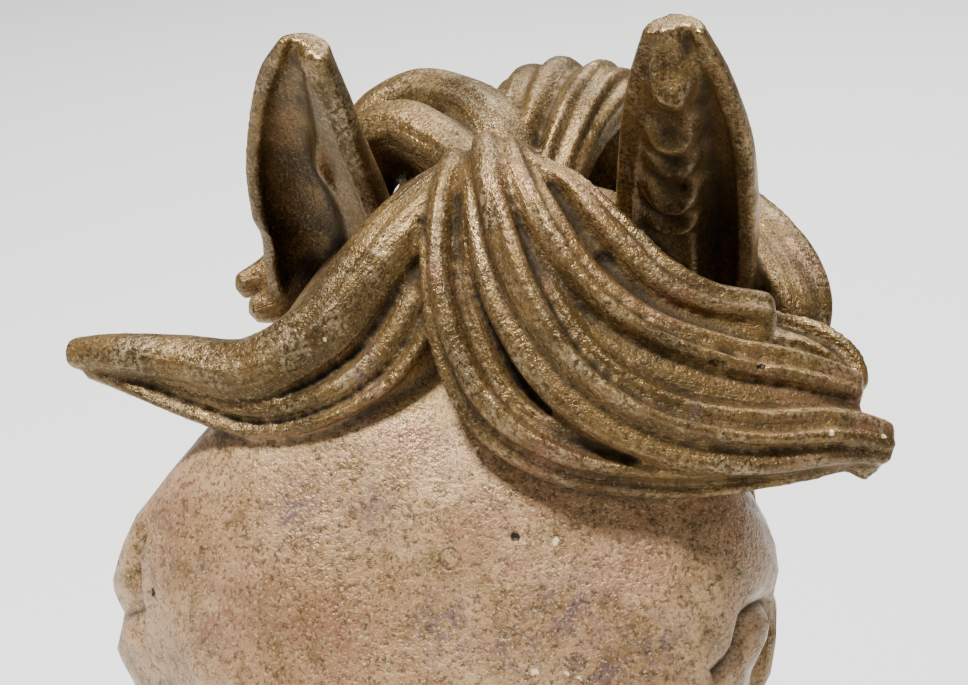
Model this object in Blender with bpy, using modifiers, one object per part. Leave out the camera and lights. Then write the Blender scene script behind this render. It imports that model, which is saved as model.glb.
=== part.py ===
"""A horse's head and neck, cast in iron as one hollow piece and modelled here as one solid.

Units are metres, with +Z up. The horse looks towards -Y, and the origin is the middle of the flat underside
of the neck. The head is carved in its own frame: x to the side, s down the face from the poll, and h out of the
face. In that frame every place is a share of HEAD_LENGTH, so the carving grows with the head. Each form is a
closed skin of rings; all the skins are fused into one, thinned to few faces, and cut flat below.
"""

import math

import bmesh
import bpy
import numpy as np
from mathutils import Matrix

HEAD_LENGTH = 0.56  # poll to upper lip
FACE_LEAN_DEG = 35.0  # face line, from upright
POLL_HEIGHT = 0.56  # underside of the neck to the poll
NECK_REACH = 0.193  # middle of the underside, behind the poll
NECK_WIDTH = 0.20  # across the underside
EAR_WIDTH = 0.056
EAR_CUP = 0.024  # how deep the ear is hollowed, its wall included
EAR_WALL = 0.009
STRAND_DEPTH = 0.0105  # grooves between the strands of a lock
FULL_DEPTH_STRANDS = 3.5  # with more strands than this in a lock, its grooves are shallower
STRAND_ROUNDNESS = 1.8  # the less, the sharper the grooves
STRAND_STRAY = 0.22  # how far a groove strays from its line, in strands
STRAY_WAVES = (7.0, 4.0, 9.0)  # turns of that straying: across a lock, along it, from lock to lock
UNEVEN = (0.8, 0.3)  # mean depth of a groove as a share of STRAND_DEPTH, and how much it differs
CELL = 0.0026  # cells that fuse the skins into one
POINT_GAP = 0.0035  # points of each skin, before they are fused
TRIANGLES = 9400  # faces kept in the finished solid
FRONT_CARE = 0.05  # how much dearer it is to lose a face of the forelock
FRONT_FROM = (0.19, -0.06)  # the forelock's lowest s and deepest h, in shares of the head's length
BELOW = 0.02  # how far the neck runs on before it is cut flat

LEAN = math.radians(FACE_LEAN_DEG)
POLL = np.array([0.0, -NECK_REACH, POLL_HEIGHT])
FACE_AXES = np.array(
    [
        [1.0, 0.0, 0.0],
        [0.0, -math.sin(LEAN), -math.cos(LEAN)],
        [0.0, -math.cos(LEAN), math.sin(LEAN)],
    ]
)
IRON = ((0.16, 0.105, 0.065, 1.0), 0.5, 0.35)  # colour, roughness, metallic


def unit(v):
    v = np.asarray(v, float)
    return v / np.maximum(np.linalg.norm(v, axis=-1, keepdims=True), 1e-12)


def smooth_through(knots, values, at):
    """Values read off a smooth curve through (knot, value) pairs."""
    knots = np.asarray(knots, float)
    values = np.asarray(values, float).reshape(len(knots), -1)
    slopes = np.gradient(values, knots, axis=0)
    at = np.clip(np.atleast_1d(np.asarray(at, float)), knots[0], knots[-1])
    i = np.clip(np.searchsorted(knots, at, side="right") - 1, 0, len(knots) - 2)
    gap = (knots[i + 1] - knots[i])[:, None]
    u = (at[:, None] - knots[i][:, None]) / gap
    found = (
        (2 * u**3 - 3 * u**2 + 1) * values[i]
        + (u**3 - 2 * u**2 + u) * gap * slopes[i]
        + (3 * u**2 - 2 * u**3) * values[i + 1]
        + (u**3 - u**2) * gap * slopes[i + 1]
    )
    return found if found.shape[1] > 1 else found[:, 0]


def profile(pairs, at):
    knots, values = zip(*pairs)
    return smooth_through(knots, values, at)


def evenly(values, at):
    """Values given at even steps from 0 to 1, read at other places."""
    return smooth_through(np.linspace(0, 1, len(values)), values, at)


def in_world(face):
    """World points from face-frame points given as shares of the head's length."""
    return POLL + np.asarray(face, float) * HEAD_LENGTH @ FACE_AXES


def way_in_world(face):
    return unit(np.asarray(face, float) @ FACE_AXES)


class Skin:
    """A closed skin of rings, one of the forms from which the casting is fused."""

    def __init__(self, rings):
        self.rings = np.asarray(rings, float)

    def normals(self):
        along = np.gradient(self.rings, axis=0)
        around = np.roll(self.rings, -1, axis=1) - np.roll(self.rings, 1, axis=1)
        out = unit(np.cross(around, along))
        centre = self.rings.mean(axis=1, keepdims=True)
        if ((self.rings - centre) * out).sum() < 0:
            out = -out
        return out.reshape(-1, 3)

    def stroke(self, path, radius, height, both=True, way=None):
        """Raises a soft ridge of this radius along face-frame points, or sinks one if height is negative."""
        points = self.rings.reshape(-1, 3)
        seen = points.copy()
        if both:
            seen[:, 0] = np.abs(seen[:, 0])
        line = in_world(path)
        if len(line) > 2:
            line = evenly(line, np.linspace(0, 1, 8 * len(line)))
        share = np.linspace(0, 1, len(line))
        radii = HEAD_LENGTH * np.interp(share, np.linspace(0, 1, np.size(radius)), np.ravel(radius))
        heights = HEAD_LENGTH * np.interp(share, np.linspace(0, 1, np.size(height)), np.ravel(height))
        weight = np.zeros(len(points))
        lift = np.zeros(len(points))
        for k in range(max(1, len(line) - 1)):
            last = min(k + 1, len(line) - 1)
            run = line[last] - line[k]
            t = np.clip(((seen - line[k]) @ run) / max(run @ run, 1e-12), 0, 1)
            away = np.linalg.norm(seen - line[k] - t[:, None] * run, axis=1)
            near = np.exp(-((away / (radii[k] + (radii[last] - radii[k]) * t)) ** 2))
            better = near > weight
            weight[better] = near[better]
            lift[better] = (near * (heights[k] + (heights[last] - heights[k]) * t))[better]
        direction = self.normals()
        if way is not None:
            direction = np.tile(way_in_world(way), (len(points), 1))
            if both:
                direction[points[:, 0] < 0, 0] *= -1
        self.rings = (points + direction * lift[:, None]).reshape(self.rings.shape)

    def add_to(self, work):
        """Adds the skin, with both ends closed, to a bmesh."""
        made = [[work.verts.new(p) for p in ring] for ring in self.rings]
        for low, high in zip(made, made[1:]):
            for j in range(len(low)):
                k = (j + 1) % len(low)
                work.faces.new((low[j], low[k], high[k], high[j]))
        work.faces.new(made[0][::-1])
        work.faces.new(made[-1])


# The head: its outlines down the face, as (s, share of the head's length).
FACE_LINE = [(-0.04, -0.05), (0.02, -0.01), (0.10, 0.012), (0.20, 0.020), (0.30, 0.010), (0.42, -0.006),
             (0.56, -0.012), (0.72, -0.008), (0.84, -0.014), (0.92, -0.032), (0.97, -0.062), (1.0, -0.098),
             (1.012, -0.135)]
JAW_LINE = [(-0.04, -0.20), (0.04, -0.34), (0.12, -0.44), (0.20, -0.475), (0.30, -0.465), (0.40, -0.405),
            (0.52, -0.325), (0.64, -0.272), (0.76, -0.240), (0.86, -0.250), (0.93, -0.240), (0.98, -0.205),
            (1.012, -0.155)]
CROWN_HALF = [(-0.04, 0.05), (0.04, 0.100), (0.12, 0.136), (0.20, 0.152), (0.27, 0.146), (0.36, 0.105),
              (0.48, 0.072), (0.62, 0.060), (0.76, 0.054), (0.88, 0.056), (0.95, 0.047), (0.99, 0.036),
              (1.012, 0.008)]
BROW_HALF = [(-0.04, 0.08), (0.04, 0.125), (0.12, 0.156), (0.20, 0.176), (0.27, 0.178), (0.35, 0.162),
             (0.46, 0.135), (0.60, 0.108), (0.74, 0.090), (0.86, 0.100), (0.94, 0.090), (0.99, 0.066),
             (1.012, 0.014)]
CHEEK_HALF = [(-0.04, 0.07), (0.04, 0.105), (0.12, 0.130), (0.22, 0.148), (0.32, 0.148), (0.42, 0.128),
              (0.54, 0.098), (0.68, 0.074), (0.80, 0.070), (0.89, 0.078), (0.95, 0.072), (0.99, 0.052),
              (1.012, 0.011)]
JAW_HALF = [(-0.04, 0.04), (0.04, 0.070), (0.12, 0.085), (0.22, 0.098), (0.32, 0.094), (0.42, 0.080),
            (0.54, 0.060), (0.68, 0.046), (0.80, 0.040), (0.89, 0.048), (0.95, 0.044), (0.99, 0.030),
            (1.012, 0.006)]
DEPTHS = (0.0, 0.05, 0.27, 0.60, 0.93, 1.0)  # where each outline lies, from the face line to the jaw line
HEAD_SPAN = (-0.04, 1.012)


def head_skin():
    rows = int(HEAD_LENGTH * (HEAD_SPAN[1] - HEAD_SPAN[0]) / POINT_GAP)
    half_ring = int(HEAD_LENGTH * 0.62 / POINT_GAP)
    s = HEAD_SPAN[0] + (HEAD_SPAN[1] - HEAD_SPAN[0]) * np.sin(np.linspace(0, 1, rows) * math.pi / 2)
    top, low = profile(FACE_LINE, s), profile(JAW_LINE, s)
    halves = [profile(line, s) for line in (CROWN_HALF, BROW_HALF, CHEEK_HALF, JAW_HALF)]
    depth = [DEPTHS[1], *DEPTHS, DEPTHS[-2]]
    knots = range(-1, len(DEPTHS) + 1)
    at = np.linspace(0, len(DEPTHS) - 1, half_ring)
    q = smooth_through(knots, depth, at)
    rings = []
    for i in range(rows):
        half = [h[i] for h in halves]
        x = smooth_through(knots, [-half[0], 0, *half, 0, -half[-1]], at)
        right = np.stack([x, np.full_like(x, s[i]), top[i] + (low[i] - top[i]) * q], 1)
        left = right[-2:0:-1] * (-1, 1, 1)
        rings.append(in_world(np.concatenate([right, left])))
    return Skin(rings)


def carve_head(head):
    """Bone and muscle, each a soft stroke on the head; both sides are alike but for the brow's outer end."""
    head.stroke([(0.110, 0.180, -0.030), (0.155, 0.190, -0.060), (0.180, 0.200, -0.095)], 0.036, 0.013)
    head.stroke([(-0.150, 0.205, -0.050), (-0.200, 0.250, -0.090), (-0.200, 0.295, -0.115),
                 (-0.185, 0.350, -0.130)],
                0.060, (0.024, 0.043, 0.050, 0.040), both=False, way=(-1, 0, 0))
    head.stroke([(-0.200, 0.212, -0.040), (-0.212, 0.238, -0.050), (-0.212, 0.275, -0.070)],
                0.030, (0.008, 0.014, 0.020), both=False, way=(-1, 0, 0))
    head.stroke([(-0.210, 0.252, -0.050), (-0.240, 0.262, -0.100), (-0.240, 0.270, -0.160)], 0.010, -0.007,
                both=False, way=(-1, 0, 0))
    head.stroke([(0.100, 0.130, 0.000), (0.060, 0.150, 0.012)], 0.045, 0.006)
    head.stroke([(0.0, 0.250, 0.015), (0.0, 0.330, 0.008)], 0.040, -0.004)
    head.stroke([(0.130, 0.110, -0.070)], 0.045, -0.012)
    head.stroke([(0.185, 0.240, -0.130)], 0.042, -0.022)
    head.stroke([(0.165, 0.370, -0.165), (0.145, 0.450, -0.165), (0.120, 0.580, -0.150)], 0.024, 0.015)
    head.stroke([(0.135, 0.400, -0.085), (0.110, 0.520, -0.075), (0.090, 0.680, -0.075)], 0.040, -0.012)
    head.stroke([(0.070, 0.420, -0.012), (0.052, 0.600, -0.012), (0.045, 0.740, -0.012)], 0.022, 0.007)
    head.stroke([(0.150, 0.190, -0.300), (0.150, 0.300, -0.320)], 0.110, 0.016)
    head.stroke([(0.135, 0.440, -0.270), (0.110, 0.560, -0.230), (0.090, 0.680, -0.200)], 0.030, -0.010)
    head.stroke([(0.0, 0.300, -0.46), (0.0, 0.440, -0.39), (0.0, 0.600, -0.29), (0.0, 0.700, -0.25)],
                0.045, -0.020)
    head.stroke([(0.062, 0.855, -0.022), (0.092, 0.880, -0.050), (0.098, 0.930, -0.085)], 0.024, 0.013)
    head.stroke([(0.104, 0.895, -0.075), (0.098, 0.930, -0.105)], 0.015, -0.030)
    head.stroke([(0.108, 0.870, -0.100), (0.100, 0.905, -0.130), (0.088, 0.945, -0.125)], 0.016, 0.010)
    head.stroke([(0.085, 0.800, -0.168), (0.080, 0.880, -0.172), (0.060, 0.950, -0.160),
                 (0.0, 0.990, -0.150)], 0.011, -0.014)
    head.stroke([(0.0, 0.900, -0.245)], 0.040, 0.012)


# The neck in side view, as (back, up) from the poll, in shares of the head's length.
CREST = [(0.0, (0.00, -0.03)), (0.2, (0.14, 0.00)), (0.35, (0.29, -0.05)), (0.5, (0.42, -0.16)),
         (0.7, (0.545, -0.38)), (0.85, (0.60, -0.66)), (1.0, (0.63, -1.0))]
THROAT = [(0.0, (0.02, -0.24)), (0.2, (0.14, -0.34)), (0.35, (0.205, -0.42)), (0.5, (0.215, -0.52)),
          (0.7, (0.17, -0.68)), (0.85, (0.105, -0.85)), (1.0, (0.06, -1.0))]
NECK_HALF = [(0.0, 0.50), (0.2, 0.60), (0.35, 0.66), (0.5, 0.72), (0.7, 0.83), (0.85, 0.93), (1.0, 1.0)]
CREST_TAPER = 0.34  # how much narrower the neck is at its crest than at its throat


def on_neck(t, turn, lift=0.0):
    """A point on the neck: t down it from the poll, turn in right angles from the crest, lift in metres."""
    drop = POLL_HEIGHT / HEAD_LENGTH
    crest, throat = profile(CREST, t)[0], profile(THROAT, t)[0]
    high = POLL + HEAD_LENGTH * np.array([0, crest[0], crest[1] * drop])
    low = POLL + HEAD_LENGTH * np.array([0, throat[0], throat[1] * drop])
    up, across = math.cos(turn * math.pi / 2), math.sin(turn * math.pi / 2)
    half = profile(NECK_HALF, t)[0] * NECK_WIDTH / 2 + lift
    middle, reach = (high + low) / 2, (high - low) / 2
    reach = reach + unit(reach) * lift
    return middle + up * reach + np.array([across * (1 - CREST_TAPER * up) * half, 0, 0])


def neck_skin():
    rows = int(HEAD_LENGTH * 1.3 / POINT_GAP)
    ring = int(HEAD_LENGTH * 1.1 / POINT_GAP)
    turns = np.linspace(0, 4, ring, endpoint=False)
    rings = [[on_neck(t, turn) for turn in turns] for t in np.linspace(0, 1, rows)]
    rings.append(np.array(rings[-1]) + (0, 0, -BELOW))
    return Skin(rings)


def carve_neck(neck):
    neck.stroke([(0.12, 0.20, -0.50), (0.16, 0.42, -0.64), (0.14, 0.66, -0.80)], 0.05, -0.010)


LEFT_WIDTHS = (0.80, 0.90, 0.97, 1.0, 0.92, 0.77, 0.60, 0.32)  # from root to tip
RIGHT_WIDTHS = (0.75, 0.82, 0.86, 0.88, 0.83, 0.74, 0.58, 0.34)
EAR_CUPS = (0.70, 0.95, 1.0, 0.92, 0.80, 0.66, 0.55, 0.45)
EAR_CURL = 1.85  # half of the ear's arc, in radians


def ear_skin(path, facing, widths, bed, folds):
    """A leaf with thick rims, cupped towards facing.

    In the cup, u runs from root to tip and v from side to side. bed is where the raised part of the cup starts
    and ends in v, and its height. Each fold has its u and v, its length and width there, its height and bend.
    """
    at = np.linspace(0, 1, int(0.14 / POINT_GAP * 1.6))
    middle = evenly(in_world(path), at)
    along = unit(np.gradient(middle, axis=0))
    front = way_in_world(facing)
    across = unit(np.cross(along, front))
    front = unit(np.cross(across, along))
    turn = np.linspace(-EAR_CURL, EAR_CURL, 25)
    rise = (np.cos(turn) - math.cos(EAR_CURL)) / (1 - math.cos(EAR_CURL))
    v = np.sin(turn)
    bed_from, bed_to, bed_height = bed
    on_bed = np.clip((v - bed_from) / (bed_to - bed_from), 0, 1)
    on_bed = on_bed**2 * (3 - 2 * on_bed) * np.sqrt(np.clip(rise, 0, 1))
    rings = []
    for i, (width, cup) in enumerate(zip(evenly(widths, at), evenly(EAR_CUPS, at))):
        half, deep = width * EAR_WIDTH / 2, cup * EAR_CUP
        wall = min(EAR_WALL, 0.6 * half)
        floor = -rise * (deep - wall) + EAR_CUP * bed_height * cup * on_bed
        for u0, v0, length, wide, height, bend in folds:
            off = (at[i] - u0 - bend * (v - v0) ** 2) / length
            fold = np.exp(-off**2 - ((v - v0) / wide) ** 4) * np.clip(1.6 * rise, 0, 1)
            floor = floor + EAR_CUP * height * fold
        side = np.concatenate([v * half, (v * (half - 0.7 * wall))[::-1]])
        out = np.concatenate([-rise * deep, floor[::-1]])
        rings.append(middle[i] + np.outer(side, across[i]) + np.outer(out, front[i]))
    return Skin(rings)


LEFT_EAR = [(-0.112, 0.075, -0.110), (-0.110, 0.040, -0.055), (-0.106, 0.020, -0.020),
            (-0.107, -0.011, 0.025), (-0.103, -0.036, 0.066), (-0.096, -0.056, 0.102)]
RIGHT_EAR = [(0.120, 0.060, -0.110), (0.120, 0.020, -0.062), (0.120, 0.000, -0.022), (0.122, -0.025, 0.029),
             (0.121, -0.047, 0.070), (0.118, -0.070, 0.108)]
LEFT_FOLDS = [(0.60, 0.15, 0.07, 0.24, 0.20, 0.0), (0.95, 0.0, 0.03, 0.5, 0.15, 0.3)]
RIGHT_FOLDS = [(0.36, -0.25, 0.022, 0.50, 0.20, 0.16), (0.45, -0.25, 0.028, 0.52, 0.28, 0.16),
               (0.545, -0.25, 0.018, 0.50, 0.18, 0.16), (0.64, -0.25, 0.028, 0.52, 0.28, 0.16),
               (0.83, -0.10, 0.050, 0.75, 0.40, 0.10)]


def ears():
    return [
        ear_skin(LEFT_EAR, (-0.25, 0.55, 1.0), LEFT_WIDTHS, (-0.1, 0.45, 0.35), LEFT_FOLDS),
        ear_skin(RIGHT_EAR, (-0.10, 0.55, 1.0), RIGHT_WIDTHS, (0.45, 0.05, 0.35), RIGHT_FOLDS),
    ]


def lock_skin(middle, facing, widths, thicks, strands, twist=0.0, blunt=0.5):
    """A lock of hair: a ribbon along world points, rounded above, with uneven grooves that part its strands.

    widths and thicks are metres at even steps; facing is the way that its rounded side looks, at even steps.
    """
    middle = np.asarray(middle, float)
    run = np.linalg.norm(np.diff(middle, axis=0), axis=1)
    knots = np.concatenate([[0], np.cumsum(run)]) / run.sum()
    rows = max(8, int(run.sum() / POINT_GAP))
    at = np.linspace(0, 1, rows)
    centre = smooth_through(knots, middle, at)
    along = unit(np.gradient(centre, axis=0))
    facing = np.atleast_2d(np.asarray(facing, float))
    front = np.repeat(facing, rows, axis=0) if len(facing) == 1 else evenly(facing, at)
    across = unit(np.cross(along, front))
    front = unit(np.cross(across, along))
    width, thick = evenly(widths, at) / 2, evenly(thicks, at) / 2
    end = np.minimum(width[-1], width.max()) * blunt / run.sum()
    ease = np.sqrt(np.clip(1 - np.clip((at - (1 - end)) / max(end, 1e-6), 0, 1) ** 2, 0.02, 1))
    ring = max(20, int(2.4 * width.max() * 2 / POINT_GAP))
    turn = np.linspace(0, 2 * math.pi, ring, endpoint=False)
    c, s = np.cos(turn), np.sin(turn)
    side = np.sign(c) * np.abs(c) ** 0.85
    out = np.sign(s) * np.abs(s) ** 0.9
    over = np.arccos(np.clip(c, -1, 1)) / math.pi
    own = 10 * (widths[0] + thicks[0]) / HEAD_LENGTH  # each lock strays in its own way
    rings = []
    for i in range(rows):
        waves = STRAY_WAVES[0] * over + STRAY_WAVES[1] * at[i] + STRAY_WAVES[2] * own
        lane = over * strands + twist * at[i] + STRAND_STRAY * np.sin(waves) * np.sin(math.pi * over)
        uneven = UNEVEN[0] + UNEVEN[1] * np.sin(2.4 * np.round(lane) + 7 * own)
        groove = uneven * (1 - np.abs(np.sin(lane * math.pi)) ** STRAND_ROUNDNESS)
        fade = min(1.0, 5 * at[i] + 0.1) * min(1.0, 4 * (1 - at[i]) + 0.25)
        depth = STRAND_DEPTH * min(1.0, FULL_DEPTH_STRANDS / strands) if strands > 1 else 0.0
        sink = depth * groove * fade * np.clip(0.35 + s, 0, 1)
        x = side * width[i] * ease[i]
        z = out * thick[i] * ease[i]
        long = np.maximum(np.hypot(x, z), 1e-6)
        shrink = 1 - np.minimum(sink / long, 0.5)
        rings.append(centre[i] + np.outer(x * shrink, across[i]) + np.outer(z * shrink, front[i]))
    return Skin(rings)


# Each lock of the forelock: its middle in the face frame, the way it looks, its widths and thicknesses in
# shares of the head's length from root to tip, and its strands.
FORELOCK = [
    # right, upper: ends in a blunt step
    ([(0.024, -0.020, 0.008), (0.033, -0.010, 0.034), (0.052, 0.002, 0.037), (0.078, 0.028, 0.037),
      (0.109, 0.056, 0.034), (0.144, 0.068, 0.027), (0.167, 0.068, 0.020), (0.181, 0.068, 0.016)],
     [(0.4, -0.5, 1), (0.4, -0.2, 1), (0.3, 0, 1), (0.2, 0, 1)],
     (0.020, 0.028, 0.034, 0.040, 0.043, 0.043, 0.040, 0.036),
     (0.030, 0.040, 0.046, 0.048, 0.046, 0.044, 0.040, 0.036), 3),
    # right, second
    ([(0.016, -0.016, 0.010), (0.022, -0.004, 0.040), (0.037, 0.024, 0.050), (0.067, 0.065, 0.049),
      (0.107, 0.092, 0.044), (0.153, 0.103, 0.037), (0.194, 0.104, 0.027), (0.231, 0.106, 0.011)],
     [(0.2, -0.4, 1), (0.2, 0, 1), (0.2, 0, 1), (0.2, 0, 1)],
     (0.024, 0.034, 0.042, 0.045, 0.045, 0.044, 0.040, 0.026),
     (0.040, 0.056, 0.064, 0.062, 0.056, 0.048, 0.040, 0.026), 3),
    # right, third, the longest
    ([(0.007, -0.018, 0.012), (0.010, -0.007, 0.041), (0.022, 0.029, 0.052), (0.045, 0.078, 0.054),
      (0.082, 0.120, 0.050), (0.128, 0.139, 0.045), (0.177, 0.141, 0.038), (0.220, 0.133, 0.025),
      (0.249, 0.133, 0.011)],
     [(0, -0.4, 1), (0, 0, 1), (0.1, 0.2, 1), (0.2, 0.1, 1)],
     (0.024, 0.036, 0.045, 0.050, 0.050, 0.048, 0.044, 0.038, 0.026),
     (0.040, 0.058, 0.066, 0.066, 0.062, 0.056, 0.048, 0.040, 0.028), 3),
    # right, lowest, along the outer edge
    ([(-0.004, -0.016, 0.008), (-0.005, -0.006, 0.032), (-0.005, 0.035, 0.043), (0.006, 0.088, 0.042),
      (0.030, 0.131, 0.038), (0.068, 0.153, 0.035), (0.112, 0.159, 0.030), (0.156, 0.156, 0.026),
      (0.197, 0.146, 0.018), (0.226, 0.138, 0.009), (0.239, 0.142, -0.003)],
     [(-0.4, -0.2, 1), (-0.4, 0, 1), (-0.1, 0.4, 1), (0.1, 0.5, 1), (0.2, 0.4, 1)],
     (0.022, 0.030, 0.037, 0.040, 0.042, 0.041, 0.038, 0.034, 0.030, 0.027, 0.022),
     (0.036, 0.050, 0.056, 0.058, 0.056, 0.054, 0.048, 0.042, 0.036, 0.032, 0.028), 3),
    # left, upper, thick
    ([(0.006, -0.018, 0.002), (-0.004, -0.006, 0.025), (-0.031, 0.021, 0.030), (-0.057, 0.057, 0.029),
      (-0.085, 0.094, 0.026), (-0.124, 0.115, 0.020), (-0.173, 0.110, 0.014), (-0.220, 0.107, 0.011),
      (-0.249, 0.107, 0.007)],
     [(-0.2, -0.4, 1), (-0.3, -0.1, 1), (-0.2, -0.2, 1), (-0.1, -0.1, 1)],
     (0.028, 0.040, 0.047, 0.049, 0.045, 0.040, 0.034, 0.028, 0.018),
     (0.032, 0.042, 0.048, 0.050, 0.050, 0.046, 0.038, 0.030, 0.018), 1),
    # left, lower, thinner
    ([(-0.012, -0.010, 0.018), (-0.015, 0.023, 0.025), (-0.021, 0.073, 0.025), (-0.044, 0.111, 0.021),
      (-0.078, 0.134, 0.018), (-0.118, 0.142, 0.011), (-0.159, 0.134, 0.007), (-0.201, 0.122, 0.004),
      (-0.237, 0.113, 0.004)],
     [(-0.3, 0, 1), (-0.2, 0.2, 1), (-0.1, 0.3, 1), (0, 0.2, 1)],
     (0.028, 0.036, 0.039, 0.037, 0.033, 0.030, 0.027, 0.023, 0.016),
     (0.040, 0.042, 0.044, 0.044, 0.042, 0.036, 0.030, 0.026, 0.018), 2),
]
# The rolls of mane that arch up behind the poll, and the ends that show beside the ears.
ARCHES = [
    # left, outer
    ([(0.002, -0.034, -0.064), (-0.018, -0.074, -0.078), (-0.048, -0.100, -0.104), (-0.077, -0.109, -0.118),
      (-0.099, -0.100, -0.122), (-0.113, -0.078, -0.121), (-0.130, -0.033, -0.111), (-0.160, 0.017, -0.102),
      (-0.184, 0.031, -0.096)],
     [(0.4, -0.3, 1), (0, -0.5, 1), (-0.4, -0.4, 1), (-0.5, -0.1, 1)],
     (0.044, 0.048, 0.048, 0.048, 0.044, 0.038, 0.036, 0.032, 0.014),
     (0.060, 0.062, 0.062, 0.062, 0.058, 0.050, 0.040, 0.032, 0.018), 1),
    # left, inner
    ([(-0.016, -0.026, -0.040), (-0.030, -0.044, -0.054), (-0.050, -0.060, -0.066), (-0.074, -0.070, -0.076),
      (-0.096, -0.064, -0.084), (-0.108, -0.040, -0.087), (-0.126, 0.003, -0.089), (-0.146, 0.038, -0.089),
      (-0.169, 0.050, -0.086)],
     [(0.3, -0.1, 1), (0, -0.3, 1), (-0.3, -0.2, 1), (-0.5, 0, 1)],
     (0.034, 0.042, 0.044, 0.042, 0.038, 0.034, 0.036, 0.034, 0.014),
     (0.044, 0.050, 0.054, 0.054, 0.050, 0.044, 0.036, 0.030, 0.016), 1),
    # right, broad, up and over the crest
    ([(0.018, -0.016, -0.066), (0.017, -0.052, -0.072), (0.021, -0.092, -0.084), (0.028, -0.123, -0.116),
      (0.036, -0.129, -0.164), (0.050, -0.114, -0.236)],
     [(-0.1, 0, 1), (0, -0.4, 1), (0, -1, 0.5), (0.1, -1, -0.3), (0.3, -1, -1)],
     (0.056, 0.074, 0.094, 0.104, 0.102, 0.080), (0.040, 0.046, 0.050, 0.052, 0.050, 0.040), 6),
    # right, round the back of the ear
    ([(0.060, -0.098, -0.180), (0.104, -0.068, -0.150), (0.141, -0.040, -0.118), (0.163, -0.015, -0.104),
      (0.178, 0.006, -0.095), (0.187, 0.029, -0.089), (0.189, 0.051, -0.086)],
     [(0.3, -1, 0.4), (0.5, -0.8, 0.8), (0.5, -0.3, 1), (0.5, 0, 1)],
     (0.060, 0.060, 0.056, 0.054, 0.056, 0.054, 0.040), (0.044, 0.046, 0.048, 0.050, 0.052, 0.050, 0.040), 2),
    # right, a lock's end below it
    ([(0.151, 0.054, -0.062), (0.179, 0.060, -0.057), (0.202, 0.066, -0.052), (0.218, 0.076, -0.049),
      (0.228, 0.092, -0.046)],
     [(0.4, -0.6, 1), (0.6, -0.3, 1)],
     (0.034, 0.038, 0.038, 0.032, 0.020), (0.040, 0.042, 0.040, 0.034, 0.020), 2),
]
MANE_LOCKS = 8  # down each side of the crest
MANE_SPAN = (0.18, 0.80)  # share of the neck that they start from


def hair():
    skins = []
    for middle, facing, widths, thicks, strands in FORELOCK + ARCHES:
        skins.append(
            lock_skin(
                in_world(middle),
                [way_in_world(way) for way in facing],
                HEAD_LENGTH * np.array(widths),
                HEAD_LENGTH * np.array(thicks),
                strands,
            )
        )
    return skins


def mane():
    """Plainer wavy locks that part at the crest and hang down both sides of the neck."""
    skins = []
    step = (MANE_SPAN[1] - MANE_SPAN[0]) / MANE_LOCKS
    for side in (-1, 1):
        for n in range(MANE_LOCKS):
            start = MANE_SPAN[0] + step * (n + (0.5 if side > 0 else 0.0))
            steep = min(1.0, max(0.0, (start - 0.25) / 0.45))  # 0 on the level top of the neck, 1 on its back
            size = 1 + 0.15 * math.sin(2.4 * n + side)
            sway = 0.10 * (-1) ** n
            down = (0.10 + 0.13 * steep) * size
            round_side = (1.15 - 0.45 * steep) * size
            middle, lift = [], (0.002, 0.008, 0.008, 0.006, 0.004, 0.002, 0.002)
            for k, share in enumerate(np.linspace(0, 1, 7)):
                bend = sway * math.sin(share * 2 * math.pi) * share
                turn = -0.10 + (round_side + 0.10) * share**0.85 + bend
                t = min(start + down * share**1.2 + 0.12 * bend, 0.985)
                middle.append(on_neck(t, turn * side, lift[k]))
            ways = ((0.1 * side, -1, -0.6), (side, -0.6, -0.4), (side, -0.1, -0.1))
            facing = [way_in_world(way) for way in ways]
            widths = np.array((0.050, 0.074, 0.080, 0.078, 0.070, 0.054, 0.022)) * HEAD_LENGTH * size
            thicks = np.array((0.040, 0.052, 0.054, 0.052, 0.046, 0.038, 0.020)) * HEAD_LENGTH
            skins.append(lock_skin(middle, facing, widths, thicks, 2, twist=0.4))
    return skins


EYE = (0.143, 0.232, -0.132)
EYE_RADIUS = 0.036


def lids():
    """An upper and a lower lid round each eye."""
    skins = []
    for side in (-1, 1):
        x, s, h = EYE
        out = x + EYE_RADIUS
        upper = [(out - 0.030, s - 0.046, h - 0.012), (out - 0.008, s - 0.030, h + 0.014),
                 (out - 0.004, s, h + 0.024), (out - 0.010, s + 0.032, h + 0.008),
                 (out - 0.032, s + 0.058, h - 0.014)]
        lower = [(out - 0.030, s - 0.046, h - 0.012), (out - 0.010, s - 0.024, h - 0.026),
                 (out - 0.008, s + 0.004, h - 0.032), (out - 0.016, s + 0.034, h - 0.026),
                 (out - 0.034, s + 0.058, h - 0.014)]
        for path, size in ((upper, 1.0), (lower, 0.8)):
            path = np.array(path) * (side, 1, 1)
            widths = np.array((0.010, 0.022, 0.026, 0.020, 0.010)) * HEAD_LENGTH * size
            skins.append(lock_skin(in_world(path), (side, 0, 0.01), widths, widths, 1))
    return skins


def in_collection(name, objects):
    group = bpy.data.collections.new(name)
    bpy.context.scene.collection.children.link(group)
    for item in objects:
        group.objects.link(item)


def add_eyeballs(work):
    x, s, h = EYE
    radius = EYE_RADIUS * HEAD_LENGTH
    for side in (-1, 1):
        place = Matrix.Translation(in_world((x * side, s, h)))
        bmesh.ops.create_uvsphere(work, u_segments=24, v_segments=14, radius=radius, matrix=place)


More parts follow.
